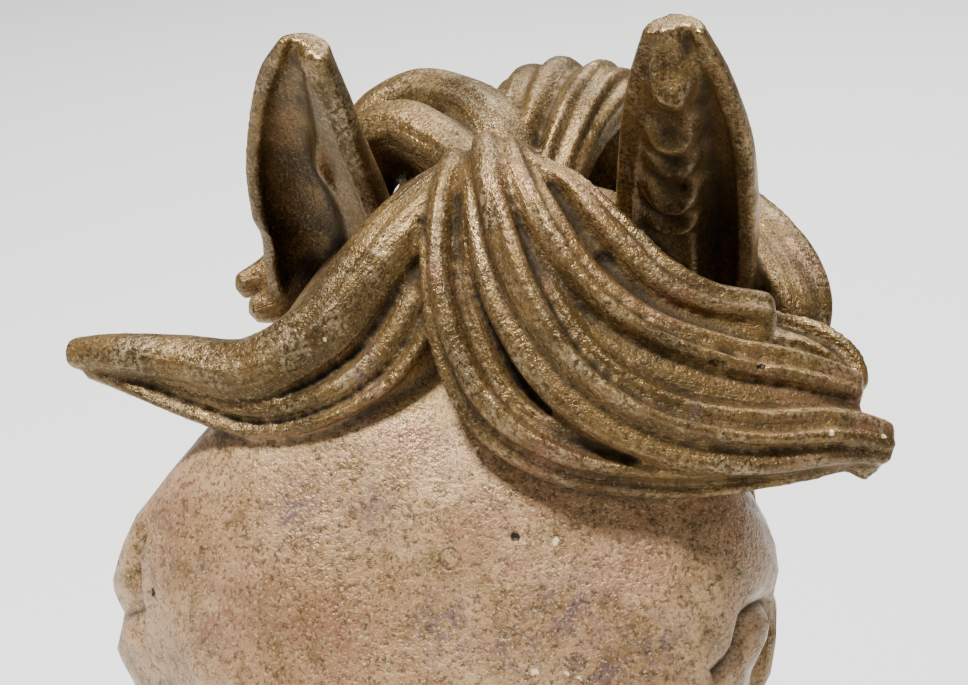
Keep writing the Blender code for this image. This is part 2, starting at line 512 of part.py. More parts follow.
def fuse(skins, name):
    """One skin round all the forms, thinned to few faces."""
    work = bmesh.new()
    for skin in skins:
        skin.add_to(work)
    add_eyeballs(work)
    bmesh.ops.recalc_face_normals(work, faces=work.faces)
    mesh = bpy.data.meshes.new(name)
    work.to_mesh(mesh)
    work.free()
    body = bpy.data.objects.new(name, mesh)
    bpy.context.scene.collection.objects.link(body)
    remesh = body.modifiers.new("fuse", "REMESH")
    remesh.mode = "VOXEL"
    remesh.voxel_size = CELL
    fused = bpy.data.meshes.new_from_object(body.evaluated_get(bpy.context.evaluated_depsgraph_get()))
    body.modifiers.remove(remesh)
    body.data = fused
    keep_largest(fused)
    ease = body.modifiers.new("ease", "SMOOTH")
    ease.factor = 0.5
    ease.iterations = 1
    front = body.vertex_groups.new(name="forelock and ears")
    front.add(front_points(fused), 0.5, "REPLACE")
    thin = body.modifiers.new("thin", "DECIMATE")
    thin.vertex_group = front.name
    thin.invert_vertex_group = True
    thin.vertex_group_factor = FRONT_CARE
    thin.ratio = TRIANGLES / (2 * len(fused.polygons))
    thinned = bpy.data.meshes.new_from_object(body.evaluated_get(bpy.context.evaluated_depsgraph_get()))
    body.modifiers.clear()
    body.vertex_groups.clear()
    body.data = thinned
    return body


def front_points(mesh):
    """Indices of the points of the forelock and the ears, which keep more of their faces."""
    places = np.empty(3 * len(mesh.vertices))
    mesh.vertices.foreach_get("co", places)
    face = (places.reshape(-1, 3) - POLL) @ FACE_AXES.T / HEAD_LENGTH
    front = (face[:, 2] > FRONT_FROM[1] + 0.9 * np.maximum(face[:, 1], 0)) & (face[:, 1] < FRONT_FROM[0])
    front |= (face[:, 2] > -0.06) & (face[:, 1] < 0.0)
    return [int(i) for i in np.nonzero(front)[0]]


def keep_largest(mesh):
    """Drops the small loose skins that fusing can leave inside."""
    work = bmesh.new()
    work.from_mesh(mesh)
    left = set(work.verts)
    groups = []
    while left:
        edge = [left.pop()]
        group = set(edge)
        while edge:
            for link in edge.pop().link_edges:
                for vert in link.verts:
                    if vert in left:
                        left.remove(vert)
                        group.add(vert)
                        edge.append(vert)
        groups.append(group)
    groups.sort(key=len)
    for group in groups[:-1]:
        bmesh.ops.delete(work, geom=list(group), context="VERTS")
    work.to_mesh(mesh)
    work.free()


def cut_flat(mesh):
    """Cuts the neck flat at the height of its underside."""
    work = bmesh.new()
    work.from_mesh(mesh)
    everything = work.verts[:] + work.edges[:] + work.faces[:]
    bmesh.ops.bisect_plane(
        work, geom=everything, dist=1e-6, plane_co=(0, 0, 0), plane_no=(0, 0, -1), clear_outer=True
    )
    rim = [edge for edge in work.edges if edge.is_boundary]
    for vert in {vert for edge in rim for vert in edge.verts}:
        vert.co.z = 0.0
    bmesh.ops.edgeloop_fill(work, edges=rim)
    bmesh.ops.triangulate(work, faces=work.faces[:])
    work.to_mesh(mesh)
    work.free()


def iron():
    colour, roughness, metallic = IRON
    material = bpy.data.materials.new("cast iron, brown patina")
    material.use_nodes = True
    shader = material.node_tree.nodes["Principled BSDF"]
    shader.inputs["Base Color"].default_value = colour
    shader.inputs["Roughness"].default_value = roughness
    shader.inputs["Metallic"].default_value = metallic
    return material


def build():
    for old in list(bpy.data.objects):
        bpy.data.objects.remove(old)
    head, neck = head_skin(), neck_skin()
    carve_head(head)
    carve_neck(neck)
    body = fuse([head, neck, *ears(), *hair(), *mane(), *lids()], "horse_head")
    cut_flat(body.data)
    body.data.shade_smooth()
    body.data.materials.clear()
    body.data.materials.append(iron())
    bpy.context.scene.collection.objects.unlink(body)
    in_collection("Horse head sculpture", [body])


build()
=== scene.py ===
# A horse's head and neck in cast iron, with a brown patina, as a bust on a pale floor.
import math

import bmesh
import bpy
import numpy as np
from mathutils import Matrix, Vector
from mathutils.bvhtree import BVHTree
from mathutils.kdtree import KDTree


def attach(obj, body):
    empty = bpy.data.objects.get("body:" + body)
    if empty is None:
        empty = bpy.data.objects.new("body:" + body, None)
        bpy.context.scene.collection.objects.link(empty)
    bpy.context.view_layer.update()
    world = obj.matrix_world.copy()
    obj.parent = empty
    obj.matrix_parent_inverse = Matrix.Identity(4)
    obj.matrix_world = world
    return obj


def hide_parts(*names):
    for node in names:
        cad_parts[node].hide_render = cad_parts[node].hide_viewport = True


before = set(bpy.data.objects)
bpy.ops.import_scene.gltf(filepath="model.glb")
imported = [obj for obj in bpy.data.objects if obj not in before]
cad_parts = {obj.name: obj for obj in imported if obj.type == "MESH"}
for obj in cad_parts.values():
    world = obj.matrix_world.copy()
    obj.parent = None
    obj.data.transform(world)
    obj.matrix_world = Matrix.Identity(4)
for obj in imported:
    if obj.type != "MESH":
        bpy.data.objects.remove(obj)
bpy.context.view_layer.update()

node = "horse_head"

# the same driving sizes as the casting's own model, in metres
sizes = {
    "headLength": 0.56,
    "faceLean": math.radians(35.0),
    "pollHeight": 0.56,
    "neckReach": 0.193,
    "neckWidth": 0.20,
    "below": 0.02,
    "pointGap": 0.0020,  # between the points of each form
    "cell": 0.00145,  # cells that fuse the forms
    "triangles": 190000,
    "frontCare": 0.05,  # how much more of its faces the front keeps
    "frontFrom": -0.12,  # h of the front's rear edge at the poll
    "frontSlope": 0.45,  # how fast that edge comes forward going down
    "frontTo": 0.30,  # s of the front's lower edge
}
headLength = sizes["headLength"]
poll = np.array([0.0, -sizes["neckReach"], sizes["pollHeight"]])
leanSin, leanCos = math.sin(sizes["faceLean"]), math.cos(sizes["faceLean"])
# face frame: x across, s down the face from the poll, h out of the face, as shares of headLength
faceAxes = np.array([[1.0, 0.0, 0.0], [0.0, -leanSin, -leanCos], [0.0, -leanCos, leanSin]])


def thousandths(values):
    return np.array(values) / 1000


def unit(v):
    v = np.asarray(v, float)
    return v / np.maximum(np.linalg.norm(v, axis=-1, keepdims=True), 1e-12)


def smoothThrough(knots, values, at):  # a smooth curve through (knot, value) pairs
    knots = np.asarray(knots, float)
    values = np.asarray(values, float).reshape(len(knots), -1)
    slopes = np.gradient(values, knots, axis=0)
    at = np.clip(np.atleast_1d(np.asarray(at, float)), knots[0], knots[-1])
    i = np.clip(np.searchsorted(knots, at, side="right") - 1, 0, len(knots) - 2)
    gap = (knots[i + 1] - knots[i])[:, None]
    u = (at[:, None] - knots[i][:, None]) / gap
    found = (
        (2 * u**3 - 3 * u**2 + 1) * values[i]
        + (u**3 - 2 * u**2 + u) * gap * slopes[i]
        + (3 * u**2 - 2 * u**3) * values[i + 1]
        + (u**3 - u**2) * gap * slopes[i + 1]
    )
    return found if found.shape[1] > 1 else found[:, 0]


def profile(pairs, at):
    knots, values = zip(*pairs)
    return smoothThrough(knots, values, at)


def evenly(values, at):
    return smoothThrough(np.linspace(0, 1, len(values)), values, at)


def inWorld(face):
    return poll + np.asarray(face, float) * headLength @ faceAxes


def wayInWorld(face):
    return unit(np.asarray(face, float) @ faceAxes)


def ringNormals(rings):
    along = np.gradient(rings, axis=0)
    around = np.roll(rings, -1, axis=1) - np.roll(rings, 1, axis=1)
    out = unit(np.cross(around, along))
    if ((rings - rings.mean(axis=1, keepdims=True)) * out).sum() < 0:
        out = -out
    return out.reshape(-1, 3)


def stroke(rings, path, radius, height, both=True, way=None):  # raises, or sinks, a soft ridge along points
    points = rings.reshape(-1, 3)
    seen = points.copy()
    if both:
        seen[:, 0] = np.abs(seen[:, 0])
    line = inWorld(path)
    if len(line) > 2:
        line = evenly(line, np.linspace(0, 1, 8 * len(line)))
    share = np.linspace(0, 1, len(line))
    radii = headLength * np.interp(share, np.linspace(0, 1, np.size(radius)), np.ravel(radius))
    heights = headLength * np.interp(share, np.linspace(0, 1, np.size(height)), np.ravel(height))
    reach = 3.2 * radii.max()
    near = ((seen > line.min(0) - reach) & (seen < line.max(0) + reach)).all(axis=1)
    chosen = seen[near]
    weight = np.zeros(len(chosen))
    lift = np.zeros(len(chosen))
    for k in range(max(1, len(line) - 1)):
        last = min(k + 1, len(line) - 1)
        run = line[last] - line[k]
        t = np.clip(((chosen - line[k]) @ run) / max(run @ run, 1e-12), 0, 1)
        away = np.linalg.norm(chosen - line[k] - t[:, None] * run, axis=1)
        close = np.exp(-((away / (radii[k] + (radii[last] - radii[k]) * t)) ** 2))
        better = close > weight
        weight[better] = close[better]
        lift[better] = (close * (heights[k] + (heights[last] - heights[k]) * t))[better]
    if way is None:
        direction = ringNormals(rings)[near]
    else:
        direction = np.tile(wayInWorld(way), (len(chosen), 1))
        if both:
            direction[points[near][:, 0] < 0, 0] *= -1
    moved = points.copy()
    moved[near] += direction * lift[:, None]
    return moved.reshape(rings.shape)


def carved(rings, strokes):
    for path, radius, height, *rest in strokes:
        rings = stroke(rings, thousandths(path), thousandths(radius), thousandths(height), *rest)
    return rings


# the head
head = {
    "span": (-0.04, 1.012),
    "depths": (0.0, 0.05, 0.27, 0.60, 0.93, 1.0),  # where the halves lie, from face line to jaw line
    # outlines: (s, h) and, for the halves, (s, x), in thousandths of headLength
    "faceLine": [(-40, -50), (20, -10), (100, 12), (200, 20), (300, 10), (420, -6), (560, -12), (720, -8),
                 (840, -14), (920, -32), (970, -62), (1000, -98), (1012, -135)],
    "jawLine": [(-40, -200), (40, -340), (120, -440), (200, -475), (300, -465), (400, -405), (520, -325),
                (640, -272), (760, -240), (860, -250), (930, -240), (980, -205), (1012, -155)],
    "halves": [
        [(-40, 50), (40, 100), (120, 136), (200, 152), (270, 146), (360, 105), (480, 72), (620, 60),
         (760, 54), (880, 56), (950, 47), (990, 36), (1012, 8)],
        [(-40, 80), (40, 125), (120, 156), (200, 176), (270, 178), (350, 162), (460, 135), (600, 108),
         (740, 90), (860, 100), (940, 90), (990, 66), (1012, 14)],
        [(-40, 70), (40, 105), (120, 130), (220, 148), (320, 148), (420, 128), (540, 98), (680, 74),
         (800, 70), (890, 78), (950, 72), (990, 52), (1012, 11)],
        [(-40, 40), (40, 70), (120, 85), (220, 98), (320, 94), (420, 80), (540, 60), (680, 46), (800, 40),
         (890, 48), (950, 44), (990, 30), (1012, 6)],
    ],
    # path in the face frame, radius and height, in thousandths of headLength; both sides alike; way
    "strokes": [
        ([(110, 180, -30), (155, 190, -60), (180, 200, -95)], 36, 13),
        ([(-150, 205, -50), (-200, 250, -90), (-200, 295, -115), (-185, 350, -130)], 60, (24, 43, 50, 40),
         False, (-1, 0, 0)),
        ([(-200, 212, -40), (-212, 238, -50), (-212, 275, -70)], 30, (8, 14, 20), False, (-1, 0, 0)),
        ([(-210, 252, -50), (-240, 262, -100), (-240, 270, -160)], 10, -7, False, (-1, 0, 0)),
        ([(100, 130, 0), (60, 150, 12)], 45, 6),
        ([(0, 250, 15), (0, 330, 8)], 40, -4),
        ([(130, 110, -70)], 45, -12),
        ([(185, 240, -130)], 42, -22),
        ([(165, 370, -165), (145, 450, -165), (120, 580, -150)], 24, 15),
        ([(135, 400, -85), (110, 520, -75), (90, 680, -75)], 40, -12),
        ([(70, 420, -12), (52, 600, -12), (45, 740, -12)], 22, 7),
        ([(150, 190, -300), (150, 300, -320)], 110, 16),
        ([(135, 440, -270), (110, 560, -230), (90, 680, -200)], 30, -10),
        ([(0, 300, -460), (0, 440, -390), (0, 600, -290), (0, 700, -250)], 45, -20),
        ([(62, 855, -22), (92, 880, -50), (98, 930, -85)], 24, 13),
        ([(104, 895, -75), (98, 930, -105)], 15, -30),
        ([(108, 870, -100), (100, 905, -130), (88, 945, -125)], 16, 10),
        ([(85, 800, -168), (80, 880, -172), (60, 950, -160), (0, 990, -150)], 11, -14),
        ([(0, 900, -245)], 40, 12),
    ],
}


def headRings():
    rows = int(headLength * (head["span"][1] - head["span"][0]) / sizes["pointGap"])
    halfRing = int(headLength * 0.62 / sizes["pointGap"])
    s = head["span"][0] + (head["span"][1] - head["span"][0]) * np.sin(np.linspace(0, 1, rows) * math.pi / 2)
    top, low = (profile(thousandths(head[line]), s) for line in ("faceLine", "jawLine"))
    halves = [profile(thousandths(line), s) for line in head["halves"]]
    depths = head["depths"]
    knots = range(-1, len(depths) + 1)
    at = np.linspace(0, len(depths) - 1, halfRing)
    q = smoothThrough(knots, [depths[1], *depths, depths[-2]], at)
    rings = []
    for i in range(rows):
        half = [h[i] for h in halves]
        x = smoothThrough(knots, [-half[0], 0, *half, 0, -half[-1]], at)
        right = np.stack([x, np.full_like(x, s[i]), top[i] + (low[i] - top[i]) * q], 1)
        rings.append(inWorld(np.concatenate([right, right[-2:0:-1] * (-1, 1, 1)])))
    return np.array(rings)


# the neck in side view: (back, up) from the poll
neck = {
    "crest": [(0.0, (0.00, -0.03)), (0.2, (0.14, 0.00)), (0.35, (0.29, -0.05)), (0.5, (0.42, -0.16)),
              (0.7, (0.545, -0.38)), (0.85, (0.60, -0.66)), (1.0, (0.63, -1.0))],
    "throat": [(0.0, (0.02, -0.24)), (0.2, (0.14, -0.34)), (0.35, (0.205, -0.42)), (0.5, (0.215, -0.52)),
               (0.7, (0.17, -0.68)), (0.85, (0.105, -0.85)), (1.0, (0.06, -1.0))],
    "half": [(0.0, 0.50), (0.2, 0.60), (0.35, 0.66), (0.5, 0.72), (0.7, 0.83), (0.85, 0.93), (1.0, 1.0)],
    "crestTaper": 0.34,
    "strokes": [([(120, 200, -500), (160, 420, -640), (140, 660, -800)], 50, -10)],
}


def onNeck(t, turn, lift=0.0):  # t down from the poll, turn in right angles from the crest, lift in metres
    drop = sizes["pollHeight"] / headLength
    crest, throat = profile(neck["crest"], t)[0], profile(neck["throat"], t)[0]
    high = poll + headLength * np.array([0, crest[0], crest[1] * drop])
    low = poll + headLength * np.array([0, throat[0], throat[1] * drop])
    up, across = math.cos(turn * math.pi / 2), math.sin(turn * math.pi / 2)
    half = profile(neck["half"], t)[0] * sizes["neckWidth"] / 2 + lift
    reach = (high - low) / 2
    reach = reach + unit(reach) * lift
    return (high + low) / 2 + up * reach + np.array([across * (1 - neck["crestTaper"] * up) * half, 0, 0])


def neckRings():
    gap = sizes["pointGap"] * 1.6
    turns = np.linspace(0, 4, int(headLength * 1.1 / gap), endpoint=False)
    rings = [[onNeck(t, turn) for turn in turns] for t in np.linspace(0, 1, int(headLength * 1.3 / gap))]
    rings.append(np.array(rings[-1]) + (0, 0, -sizes["below"]))
    return np.array(rings)


# the ears: the paths are in thousandths of headLength; in the cup, u runs from root to tip and v across
ear = {
    "width": 0.056,
    "cup": 0.024,
    "wall": 0.009,
    "cups": (0.70, 0.95, 1.0, 0.92, 0.80, 0.66, 0.55, 0.45),
    "curl": 1.85,
    "left": {
        "path": [(-112, 75, -110), (-110, 40, -55), (-106, 20, -20), (-107, -11, 25), (-103, -36, 66),
                 (-96, -56, 102)],
        "facing": (-0.25, 0.55, 1.0),
        "widths": (0.80, 0.90, 0.97, 1.0, 0.92, 0.77, 0.60, 0.32),
        "bed": (-0.1, 0.45, 0.35),  # where the raised part of the cup starts and ends in v, and its height
        # u, v, length, width, height and bend
        "folds": [(0.60, 0.15, 0.07, 0.24, 0.20, 0.0), (0.95, 0.0, 0.03, 0.5, 0.15, 0.3)],
    },
    "right": {
        "path": [(120, 60, -110), (120, 20, -62), (120, 0, -22), (122, -25, 29), (121, -47, 70),
                 (118, -70, 108)],
        "facing": (-0.10, 0.55, 1.0),
        "widths": (0.75, 0.82, 0.86, 0.88, 0.83, 0.74, 0.58, 0.34),
        "bed": (0.45, 0.05, 0.35),
        "folds": [(0.36, -0.25, 0.022, 0.50, 0.20, 0.16), (0.45, -0.25, 0.028, 0.52, 0.28, 0.16),
                  (0.545, -0.25, 0.018, 0.50, 0.18, 0.16), (0.64, -0.25, 0.028, 0.52, 0.28, 0.16),
                  (0.83, -0.10, 0.050, 0.75, 0.40, 0.10)],
    },
}


def earRings(own):
    at = np.linspace(0, 1, int(0.30 / sizes["pointGap"]))
    middle = evenly(inWorld(thousandths(own["path"])), at)
    along = unit(np.gradient(middle, axis=0))
    across = unit(np.cross(along, wayInWorld(own["facing"])))
    front = unit(np.cross(across, along))
    turn = np.linspace(-ear["curl"], ear["curl"], 61)
    rise = (np.cos(turn) - math.cos(ear["curl"])) / (1 - math.cos(ear["curl"]))
    v = np.sin(turn)
    bedFrom, bedTo, bedHeight = own["bed"]
    onBed = np.clip((v - bedFrom) / (bedTo - bedFrom), 0, 1)
    onBed = onBed**2 * (3 - 2 * onBed) * np.sqrt(np.clip(rise, 0, 1))
    rings = []
    for i, (width, cup) in enumerate(zip(evenly(own["widths"], at), evenly(ear["cups"], at))):
        half, deep = width * ear["width"] / 2, cup * ear["cup"]
        wall = min(ear["wall"], 0.6 * half)
        floor = -rise * (deep - wall) + ear["cup"] * bedHeight * cup * onBed
        for u0, v0, length, wide, height, bend in own["folds"]:
            off = (at[i] - u0 - bend * (v - v0) ** 2) / length
            fold = np.exp(-off**2 - ((v - v0) / wide) ** 4) * np.clip(1.6 * rise, 0, 1)
            floor = floor + ear["cup"] * height * fold
        side = np.concatenate([v * half, (v * (half - 0.7 * wall))[::-1]])
        out = np.concatenate([-rise * deep, floor[::-1]])
        rings.append(middle[i] + np.outer(side, across[i]) + np.outer(out, front[i]))
    return np.array(rings)


# the eyes: a ball between two lids, which follow the eye's own arc
eye = {
    "middle": (0.143, 0.232, -0.132),
    "radius": 0.036,
    # from the ball's outermost point, in thousandths of headLength
    "upperLid": [(-30, -46, -12), (-8, -30, 14), (-4, 0, 24), (-10, 32, 8), (-32, 58, -14)],
    "lowerLid": [(-30, -46, -12), (-10, -24, -26), (-8, 4, -32), (-16, 34, -26), (-34, 58, -14)],
    "lidWidths": (10, 22, 26, 20, 10),
}


def addEyeballs(work):
    x, s, h = eye["middle"]
    for side in (-1, 1):
        place = Matrix.Translation(inWorld((x * side, s, h)))
        radius = eye["radius"] * headLength
        bmesh.ops.create_uvsphere(work, u_segments=48, v_segments=28, radius=radius, matrix=place)


def lidLocks():
    locks = []
    x, s, h = eye["middle"]
    for side in (-1, 1):
        for lid, size in (("upperLid", 1.0), ("lowerLid", 0.8)):
            path = thousandths(eye[lid]) + (x + eye["radius"], s, h)
            widths = thousandths(eye["lidWidths"]) * size * headLength
            locks.append((inWorld(path * (side, 1, 1)), [(side, 0, 0.01)], widths, widths, 0, 0.0))
    return locks


# hair: a lock has a middle line in the face frame, ways that it looks, widths, thicknesses and a count of
# strands; the line, widths and thicknesses are in thousandths of headLength
hair = {
    "grooveDepth": 0.0080,
    "fullDepthStrands": 3.5,  # with more strands than this in a lock, its grooves are shallower
    "roundness": 1.0,  # the less, the sharper the grooves
    "stray": 0.22,  # how far a groove strays from its line, in strands
    "strayWaves": (7.0, 4.0, 9.0),  # over the lock, along it, and from lock to lock
    "uneven": (0.8, 0.3),  # the mean share of the full depth that grooves have, and how far it varies
    "unevenWaves": (2.4, 7.0),  # from strand to strand, and from lock to lock
    "streakDepth": 0.0016,
    "streaks": 13.0,  # across the rounded side of a lock
    "streakRun": 16.0,  # changes along each metre
    "ring": 140,
    "combAcross": 24.0,  # fine streaks across the rounded side of a lock
    "combAlong": 20.0,  # their changes along each metre
    "apart": 37.0,  # keeps the streaks of one lock unlike those of the next
    "offLock": (0.0021, 0.003),  # metres from the nearest lock where the combing fades, and over how far
    "forelock": [
        # right, upper: ends in a blunt step
        ([(24, -20, 8), (33, -10, 34), (52, 2, 37), (78, 28, 37), (109, 56, 34), (144, 68, 27), (167, 68, 20),
          (181, 68, 16)],
         [(0.4, -0.5, 1), (0.4, -0.2, 1), (0.3, 0, 1), (0.2, 0, 1)],
         (20, 28, 34, 40, 43, 43, 40, 36), (30, 40, 46, 48, 46, 44, 40, 36), 3),
        # right, second
        ([(16, -16, 10), (22, -4, 40), (37, 24, 50), (67, 65, 49), (107, 92, 44), (153, 103, 37),
          (194, 104, 27), (231, 106, 11)],
         [(0.2, -0.4, 1), (0.2, 0, 1), (0.2, 0, 1), (0.2, 0, 1)],
         (24, 34, 42, 45, 45, 44, 40, 26), (40, 56, 64, 62, 56, 48, 40, 26), 3),
        # right, third, the longest
        ([(7, -18, 12), (10, -7, 41), (22, 29, 52), (45, 78, 54), (82, 120, 50), (128, 139, 45),
          (177, 141, 38), (220, 133, 25), (249, 133, 11)],
         [(0, -0.4, 1), (0, 0, 1), (0.1, 0.2, 1), (0.2, 0.1, 1)],
         (24, 36, 45, 50, 50, 48, 44, 38, 26), (40, 58, 66, 66, 62, 56, 48, 40, 28), 3),
        # right, lowest, along the outer edge
        ([(-4, -16, 8), (-5, -6, 32), (-5, 35, 43), (6, 88, 42), (30, 131, 38), (68, 153, 35), (112, 159, 30),
          (156, 156, 26), (197, 146, 18), (226, 138, 9), (239, 142, -3)],
         [(-0.4, -0.2, 1), (-0.4, 0, 1), (-0.1, 0.4, 1), (0.1, 0.5, 1), (0.2, 0.4, 1)],
         (22, 30, 37, 40, 42, 41, 38, 34, 30, 27, 22), (36, 50, 56, 58, 56, 54, 48, 42, 36, 32, 28), 3),
        # left, upper, thick
        ([(6, -18, 2), (-4, -6, 25), (-31, 21, 30), (-57, 57, 29), (-85, 94, 26), (-124, 115, 20),
          (-173, 110, 14), (-220, 107, 11), (-249, 107, 7)],
         [(-0.2, -0.4, 1), (-0.3, -0.1, 1), (-0.2, -0.2, 1), (-0.1, -0.1, 1)],
         (28, 40, 47, 49, 45, 40, 34, 28, 18), (32, 42, 48, 50, 50, 46, 38, 30, 18), 1),
        # left, lower, thinner
        ([(-12, -10, 18), (-15, 23, 25), (-21, 73, 25), (-44, 111, 21), (-78, 134, 18), (-118, 142, 11),
          (-159, 134, 7), (-201, 122, 4), (-237, 113, 4)],
         [(-0.3, 0, 1), (-0.2, 0.2, 1), (-0.1, 0.3, 1), (0, 0.2, 1)],
         (28, 36, 39, 37, 33, 30, 27, 23, 16), (40, 42, 44, 44, 42, 36, 30, 26, 18), 2),
    ],
    "arches": [
        # left, outer
        ([(2, -34, -64), (-18, -74, -78), (-48, -100, -104), (-77, -109, -118), (-99, -100, -122),
          (-113, -78, -121), (-130, -33, -111), (-160, 17, -102), (-184, 31, -96)],
         [(0.4, -0.3, 1), (0, -0.5, 1), (-0.4, -0.4, 1), (-0.5, -0.1, 1)],
         (44, 48, 48, 48, 44, 38, 36, 32, 14), (60, 62, 62, 62, 58, 50, 40, 32, 18), 1),
        # left, inner
        ([(-16, -26, -40), (-30, -44, -54), (-50, -60, -66), (-74, -70, -76), (-96, -64, -84),
          (-108, -40, -87), (-126, 3, -89), (-146, 38, -89), (-169, 50, -86)],
         [(0.3, -0.1, 1), (0, -0.3, 1), (-0.3, -0.2, 1), (-0.5, 0, 1)],
         (34, 42, 44, 42, 38, 34, 36, 34, 14), (44, 52, 62, 67, 64, 56, 40, 30, 16), 1),
        # right, broad, up and over the crest
        ([(18, -16, -66), (17, -52, -72), (21, -92, -84), (28, -123, -116), (36, -129, -164),
          (50, -114, -236)],
         [(-0.1, 0, 1), (0, -0.4, 1), (0, -1, 0.5), (0.1, -1, -0.3), (0.3, -1, -1)],
         (56, 74, 94, 104, 102, 80), (40, 46, 50, 52, 50, 40), 6),
        # right, round the back of the ear
        ([(60, -98, -180), (104, -68, -150), (141, -40, -118), (163, -15, -104), (178, 6, -95),
          (187, 29, -89), (189, 51, -86)],
         [(0.3, -1, 0.4), (0.5, -0.8, 0.8), (0.5, -0.3, 1), (0.5, 0, 1)],
         (60, 60, 56, 54, 56, 54, 40), (44, 46, 48, 50, 52, 50, 40), 2),
        # right, a lock's end below it
        ([(151, 54, -62), (179, 60, -57), (202, 66, -52), (218, 76, -49), (228, 92, -46)],
         [(0.4, -0.6, 1), (0.6, -0.3, 1)],
         (34, 38, 38, 32, 20), (40, 42, 40, 34, 20), 2),
    ],
    "maneLocks": 8,  # down each side of the crest
    "maneSpan": (0.18, 0.80),  # share of the neck that they start from
    "maneLift": (0.002, 0.008, 0.008, 0.006, 0.004, 0.002, 0.002),  # metres that they stand off the neck
    "maneWidths": (50, 74, 80, 78, 70, 54, 22),
    "maneThicks": (40, 52, 54, 52, 46, 38, 20),
    "maneTwist": 0.4,  # strands that turn round the lock along it
}


def headLocks():
    locks = []
    for middle, facing, widths, thicks, strands in hair["forelock"] + hair["arches"]:
        ways = [wayInWorld(way) for way in facing]
        widths, thicks = headLength * thousandths(widths), headLength * thousandths(thicks)
        locks.append((inWorld(thousandths(middle)), ways, widths, thicks, strands, 0.0))
    return locks


def maneLocks():
    locks = []
    first, last = hair["maneSpan"]
    step = (last - first) / hair["maneLocks"]
    for side in (-1, 1):
        for n in range(hair["maneLocks"]):
            start = first + step * (n + (0.5 if side > 0 else 0.0))
            steep = min(1.0, max(0.0, (start - 0.25) / 0.45))  # 0 on the neck's level top, 1 down its back
            size = 1 + 0.15 * math.sin(2.4 * n + side)
            sway = 0.10 * (-1) ** n
            down = (0.10 + 0.13 * steep) * size
            roundSide = (1.15 - 0.45 * steep) * size
            middle = []
            for lift, share in zip(hair["maneLift"], np.linspace(0, 1, len(hair["maneLift"]))):
                bend = sway * math.sin(share * 2 * math.pi) * share
                turn = -0.10 + (roundSide + 0.10) * share**0.85 + bend
                at = min(start + down * share**1.2 + 0.12 * bend, 0.985)
                middle.append(onNeck(at, turn * side, lift))
            ways = ((0.1 * side, -1, -0.6), (side, -0.6, -0.4), (side, -0.1, -0.1))
            facing = [wayInWorld(way) for way in ways]
            widths = thousandths(hair["maneWidths"]) * headLength * size
            thicks = thousandths(hair["maneThicks"]) * headLength
            locks.append((np.array(middle), facing, widths, thicks, 3, hair["maneTwist"]))
    return locks


def spineMesh(locks, name):  # one chain of edges a lock; its points carry what the sweep needs
    points, edges, table = [], [], {}
    for middle, facing, widths, thicks, strands, twist in locks:
        run = np.linalg.norm(np.diff(middle, axis=0), axis=1)
        knots = np.concatenate([[0], np.cumsum(run)]) / run.sum()
        rows = max(8, int(run.sum() / sizes["pointGap"]))
        at = np.linspace(0, 1, rows)
        centre = smoothThrough(knots, middle, at)
        along = unit(np.gradient(centre, axis=0))
        front = evenly(facing, at) if len(facing) > 1 else np.tile(np.asarray(facing[0], float), (rows, 1))
        across = unit(np.cross(along, front))
        wide, deep = evenly(widths, at) / 2, evenly(thicks, at) / 2
        end = min(wide[-1], wide.max()) * 0.5 / run.sum()
        ease = np.sqrt(np.clip(1 - np.clip((at - (1 - end)) / max(end, 1e-6), 0, 1) ** 2, 0.02, 1))
        start = len(points)
        points.extend(centre)
        edges.extend((start + k, start + k + 1) for k in range(rows - 1))
        own = 10 * (widths[0] + thicks[0]) / headLength  # unlike from lock to lock
        carried = {"across": across, "front": unit(np.cross(across, along)), "wide": wide * ease,
                   "deep": deep * ease, "share": at, "run": at * run.sum(), "strands": [strands] * rows,
                   "twist": [twist] * rows, "own": [own] * rows}
        for key, values in carried.items():
            table.setdefault(key, []).extend(values)
    mesh = bpy.data.meshes.new(name)
    mesh.from_pydata([tuple(p) for p in points], edges, [])
    for key, values in table.items():
        store(mesh, key, values, "vector" if key in ("across", "front") else "value")
    return mesh


def newTree(name, settings, labels):  # a geometry tree whose inputs are some settings and a material
    tree = bpy.data.node_groups.new(name, "GeometryNodeTree")
    inputs = [("Geometry", "Geometry", None)]
    for label, key in labels.items():
        inputs.append((label, "Int" if isinstance(settings[key], int) else "Float", settings[key]))
    for label, kind, value in (*inputs, ("Material", "Material", None)):
        made = tree.interface.new_socket(label, in_out="INPUT", socket_type="NodeSocket" + kind)
        if value is not None:
            made.default_value = value
    tree.interface.new_socket("Geometry", in_out="OUTPUT", socket_type="NodeSocketGeometry")
    return tree, tree.nodes.new("NodeGroupInput").outputs, made.identifier


def put(tree, kind, inputs=None, **settings):  # a node with its settings and inputs, linked or set
    made = tree.nodes.new(kind)
    for key, value in settings.items():
        setattr(made, key, value)
    for key, value in (inputs or {}).items():
        if isinstance(value, bpy.types.NodeSocket):
            tree.links.new(value, made.inputs[key])
        else:
            made.inputs[key].default_value = value
    return made


def closeTree(tree, geometry, material):
    real = put(tree, "GeometryNodeRealizeInstances", {0: geometry})
    done = put(tree, "GeometryNodeSetMaterial", {"Geometry": real.outputs[0], "Material": material})
    tree.links.new(done.outputs[0], tree.nodes.new("NodeGroupOutput").inputs[0])


def calc(tree, operation, *values):
    return put(tree, "ShaderNodeMath", dict(enumerate(values)), operation=operation).outputs[0]


def chained(tree, operation, found, *values):
    for value in values:
        found = calc(tree, operation, found, value)
    return found


def named(tree, name, kind="FLOAT"):
    return put(tree, "GeometryNodeInputNamedAttribute", {"Name": name}, data_type=kind).outputs["Attribute"]


